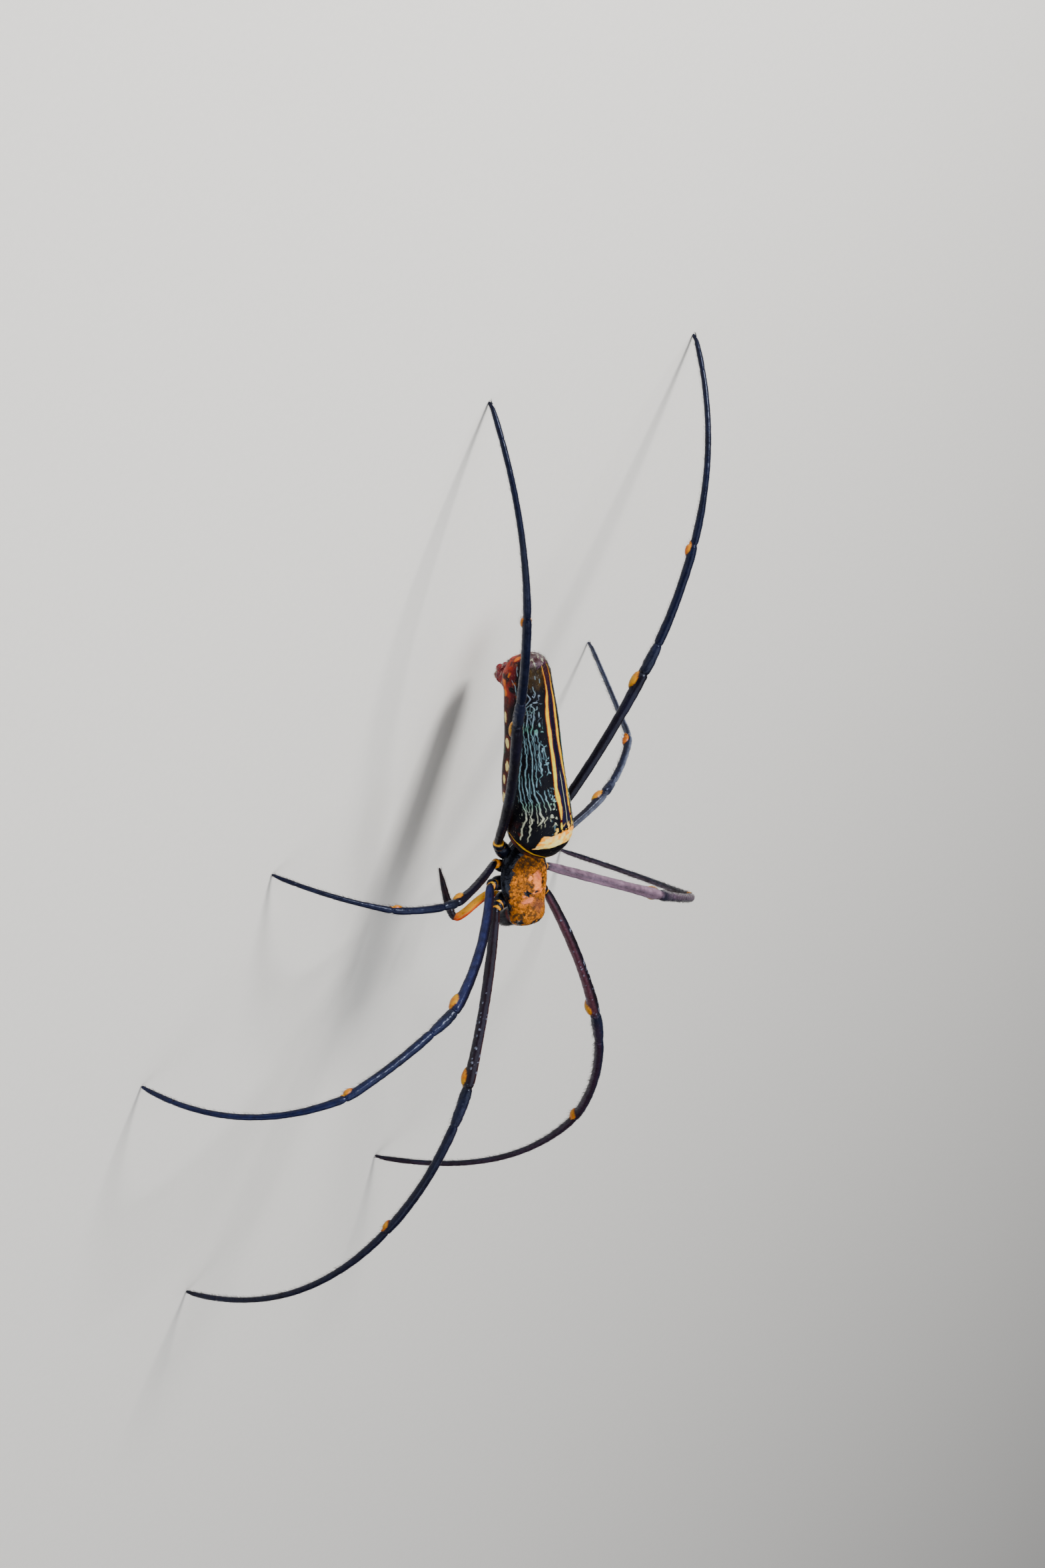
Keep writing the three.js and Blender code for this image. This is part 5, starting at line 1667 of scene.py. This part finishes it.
def spinnerets():
    """A ringed base, three pairs of jointed teats and the small tubercle behind them."""
    aim = unit(np.array(SPINNERETS["aim"], float) * [1, -1, 1])
    across = np.array([1.0, 0, 0])
    rear = unit(np.cross(across, aim))
    if rear[1] > 0:
        rear = -rear
    base = np.array([0, -SPINNERETS["back"], SPINNERETS["height"]])
    grids, shades = [], []

    def teat(start, towards, radii, length, rings, red):
        """Adds one ringed cone; red is how red it is under its dark end colour."""
        t = np.linspace(0, 1, TEAT_RINGS)
        line = on_body(start + length * t[:, None] * towards)
        radius = radii[0] + (radii[1] - radii[0]) * t ** 1.2
        radius = radius * (1 + 0.02 * np.cos(t * FULL_TURN * rings))
        radius = radius * np.sqrt(share_of((1.02 - t) / 0.12))
        grid = round_limb(line, radius, TEAT_SIDES, up=aim_on_body([0, 1, 0]))
        grain = noise(grid, 0.3, 161)
        tone = mix(MAROON, CRIMSON, share_of(0.5 + 0.8 * grain))
        tone = mix(tone, mix(VIOLET, ROSE, 0.5), step(t, 0.6, 1)[:, None] * share_of(0.6 + grain))
        # Painted glints: pale specks on the base and the teats
        tone = mix(tone, CHALK, step(noise(grid, 0.22, 162), 0.5, 0.62) * 0.8)
        tone = mix(tone, INK, (1 - red) * np.ones_like(grain))
        grids.append(grid)
        shades.append(tone)

    cup = SPINNERETS["length"] + SPINNERETS["sunk"]
    wide = SPINNERETS["radius"]
    teat(base - SPINNERETS["sunk"] * aim, aim, (wide, wide * 0.72), cup, 5, 0.8)
    for hand in (-1, 1):
        for side, behind, reach in SPINNERETS["teats"]:
            root = base + (SPINNERETS["length"] - SPINNERETS["teat_sunk"]) * aim
            root = root + DRAWN_IN * (hand * side * across + behind * rear)
            towards = unit(aim - hand * SPINNERETS["inward"] * across + behind * SPINNERETS["splay"] * rear)
            teat(root - 0.5 * towards, towards, (0.95, 0.5), 0.65 * reach + 0.3, 4, 1.0)
    teat(base + 1.0 * aim + 1.75 * rear, unit(0.5 * aim + rear), (0.6, 0.25), 1.1, 3, 0.7)
    skin = join_tubes("spinneret_cluster", grids, CUTICLE, shades)
    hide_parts("spinnerets")
    spinneret_hairs(grids, aim)


def spinneret_hairs(grids, aim):
    """Fine hairs on the base and the teats."""
    rng = np.random.default_rng(171)
    roots, outs, charts = [], [], []
    for k, grid in enumerate(grids):
        rows = rng.integers(10, 36, 260 if k == 0 else 90)
        columns = rng.integers(0, TEAT_SIDES, len(rows))
        middle = grid.mean(1)
        roots.append(grid[rows, columns])
        outs.append(unit(grid[rows, columns] - middle[rows]))
        charts.append(np.stack([(k + rows / TEAT_RINGS) / len(grids), columns / TEAT_SIDES], axis=1))
    root, out, chart = np.concatenate(roots), np.concatenate(outs), np.concatenate(charts)
    count = len(root)
    lie = np.broadcast_to(aim_on_body(aim), (count, 3)) + rng.normal(0, 0.2, (count, 3))
    shade = mix(ROSE, CHALK, rng.uniform(0, 0.8, count))
    hairs(
        "spinneret_hairs", PALE_HAIR, root, out, lie, rng.uniform(0.25, 0.6, count), 0.035,
        np.radians(rng.uniform(20, 50, count)), 0.1, shade, chart,
    )


# Camera, floor and light

def stand(item, right, up, back, place):
    """Puts a camera or lamp at a place, looking against back."""
    columns = np.eye(4)
    columns[:3, :3] = [right, up, back]
    columns[3, :3] = np.asarray(place) * MM
    item.matrix_world = columns.tolist()


def camera():
    """Looks at the animal as the picture does."""
    az, el, roll = (math.radians(CAMERA[k]) for k in ("azimuth", "elevation", "roll"))
    back = np.array([math.sin(az) * math.cos(el), -math.cos(az) * math.cos(el), math.sin(el)])
    right = unit(np.cross(-back, [0, 0, 1.0]))
    up = np.cross(right, -back)
    turned_right = math.cos(roll) * right + math.sin(roll) * up
    turned_up = -math.sin(roll) * right + math.cos(roll) * up
    x, y = CAMERA["offset"]
    target = WAIST + x * turned_right + y * turned_up
    place = target + CAMERA["distance"] * back
    lens = bpy.data.cameras.new("camera")
    lens.sensor_width = SENSOR
    lens.lens = LENS
    lens.clip_start = 0.01
    lens.clip_end = 20
    eye = bpy.data.objects.new("camera", lens)
    stand(eye, turned_right, turned_up, back, place)
    bpy.context.scene.collection.objects.link(eye)
    bpy.context.scene.camera = eye


def area_light(name, place, size, power, tint):
    """A square lamp that shines on the waist."""
    data = bpy.data.lights.new(name, "AREA")
    data.shape = "RECTANGLE"
    data.size = data.size_y = size
    data.energy = power
    data.color = tint
    lamp = bpy.data.objects.new(name, data)
    away = unit(np.asarray(place, float) - WAIST)
    side = unit(np.cross([0, 0, 1.0], away))
    up = np.cross(away, side)
    stand(lamp, side, up, away, place)
    bpy.context.scene.collection.objects.link(lamp)


# Where the main light comes from, how far it is, and half the width of the floor
KEY_AIM = unit([0.02, 0.85, 0.52])
KEY_DISTANCE = 650
FLOOR_REACH = 3000


def studio():
    """Three lamps, a dim sky and a plain floor."""
    area_light("key", WAIST + KEY_AIM * KEY_DISTANCE, 0.15, 7, (1.0, 0.98, 0.96))
    area_light("top", [-120, 100, 900], 0.9, 6, (0.97, 0.98, 1.0))
    area_light("side", [-700, -300, 420], 0.5, 2, (0.96, 0.98, 1.0))
    world = bpy.data.worlds.new("studio")
    world.use_nodes = True
    sky = world.node_tree.nodes["Background"]
    sky.inputs["Color"].default_value = (0.9, 0.93, 1.0, 1)
    sky.inputs["Strength"].default_value = 0.12
    bpy.context.scene.world = world
    corners = np.array([[-1, -1, 0], [1, -1, 0], [1, 1, 0], [-1, 1, 0]]) * FLOOR_REACH
    floor = make_mesh("floor", corners, [np.array([[0, 1, 2, 3]])], FLOOR, body=None)


camera()
studio()
legs = [Leg(name, spec) for name, spec in LEGS.items()]
for leg in legs:
    leg.skin()
    leg.claws()
leg_bristles(legs)
abdomen()
carapace()
underside()
pedicel()
eyes()
chelicerae()
palps()
spinnerets()
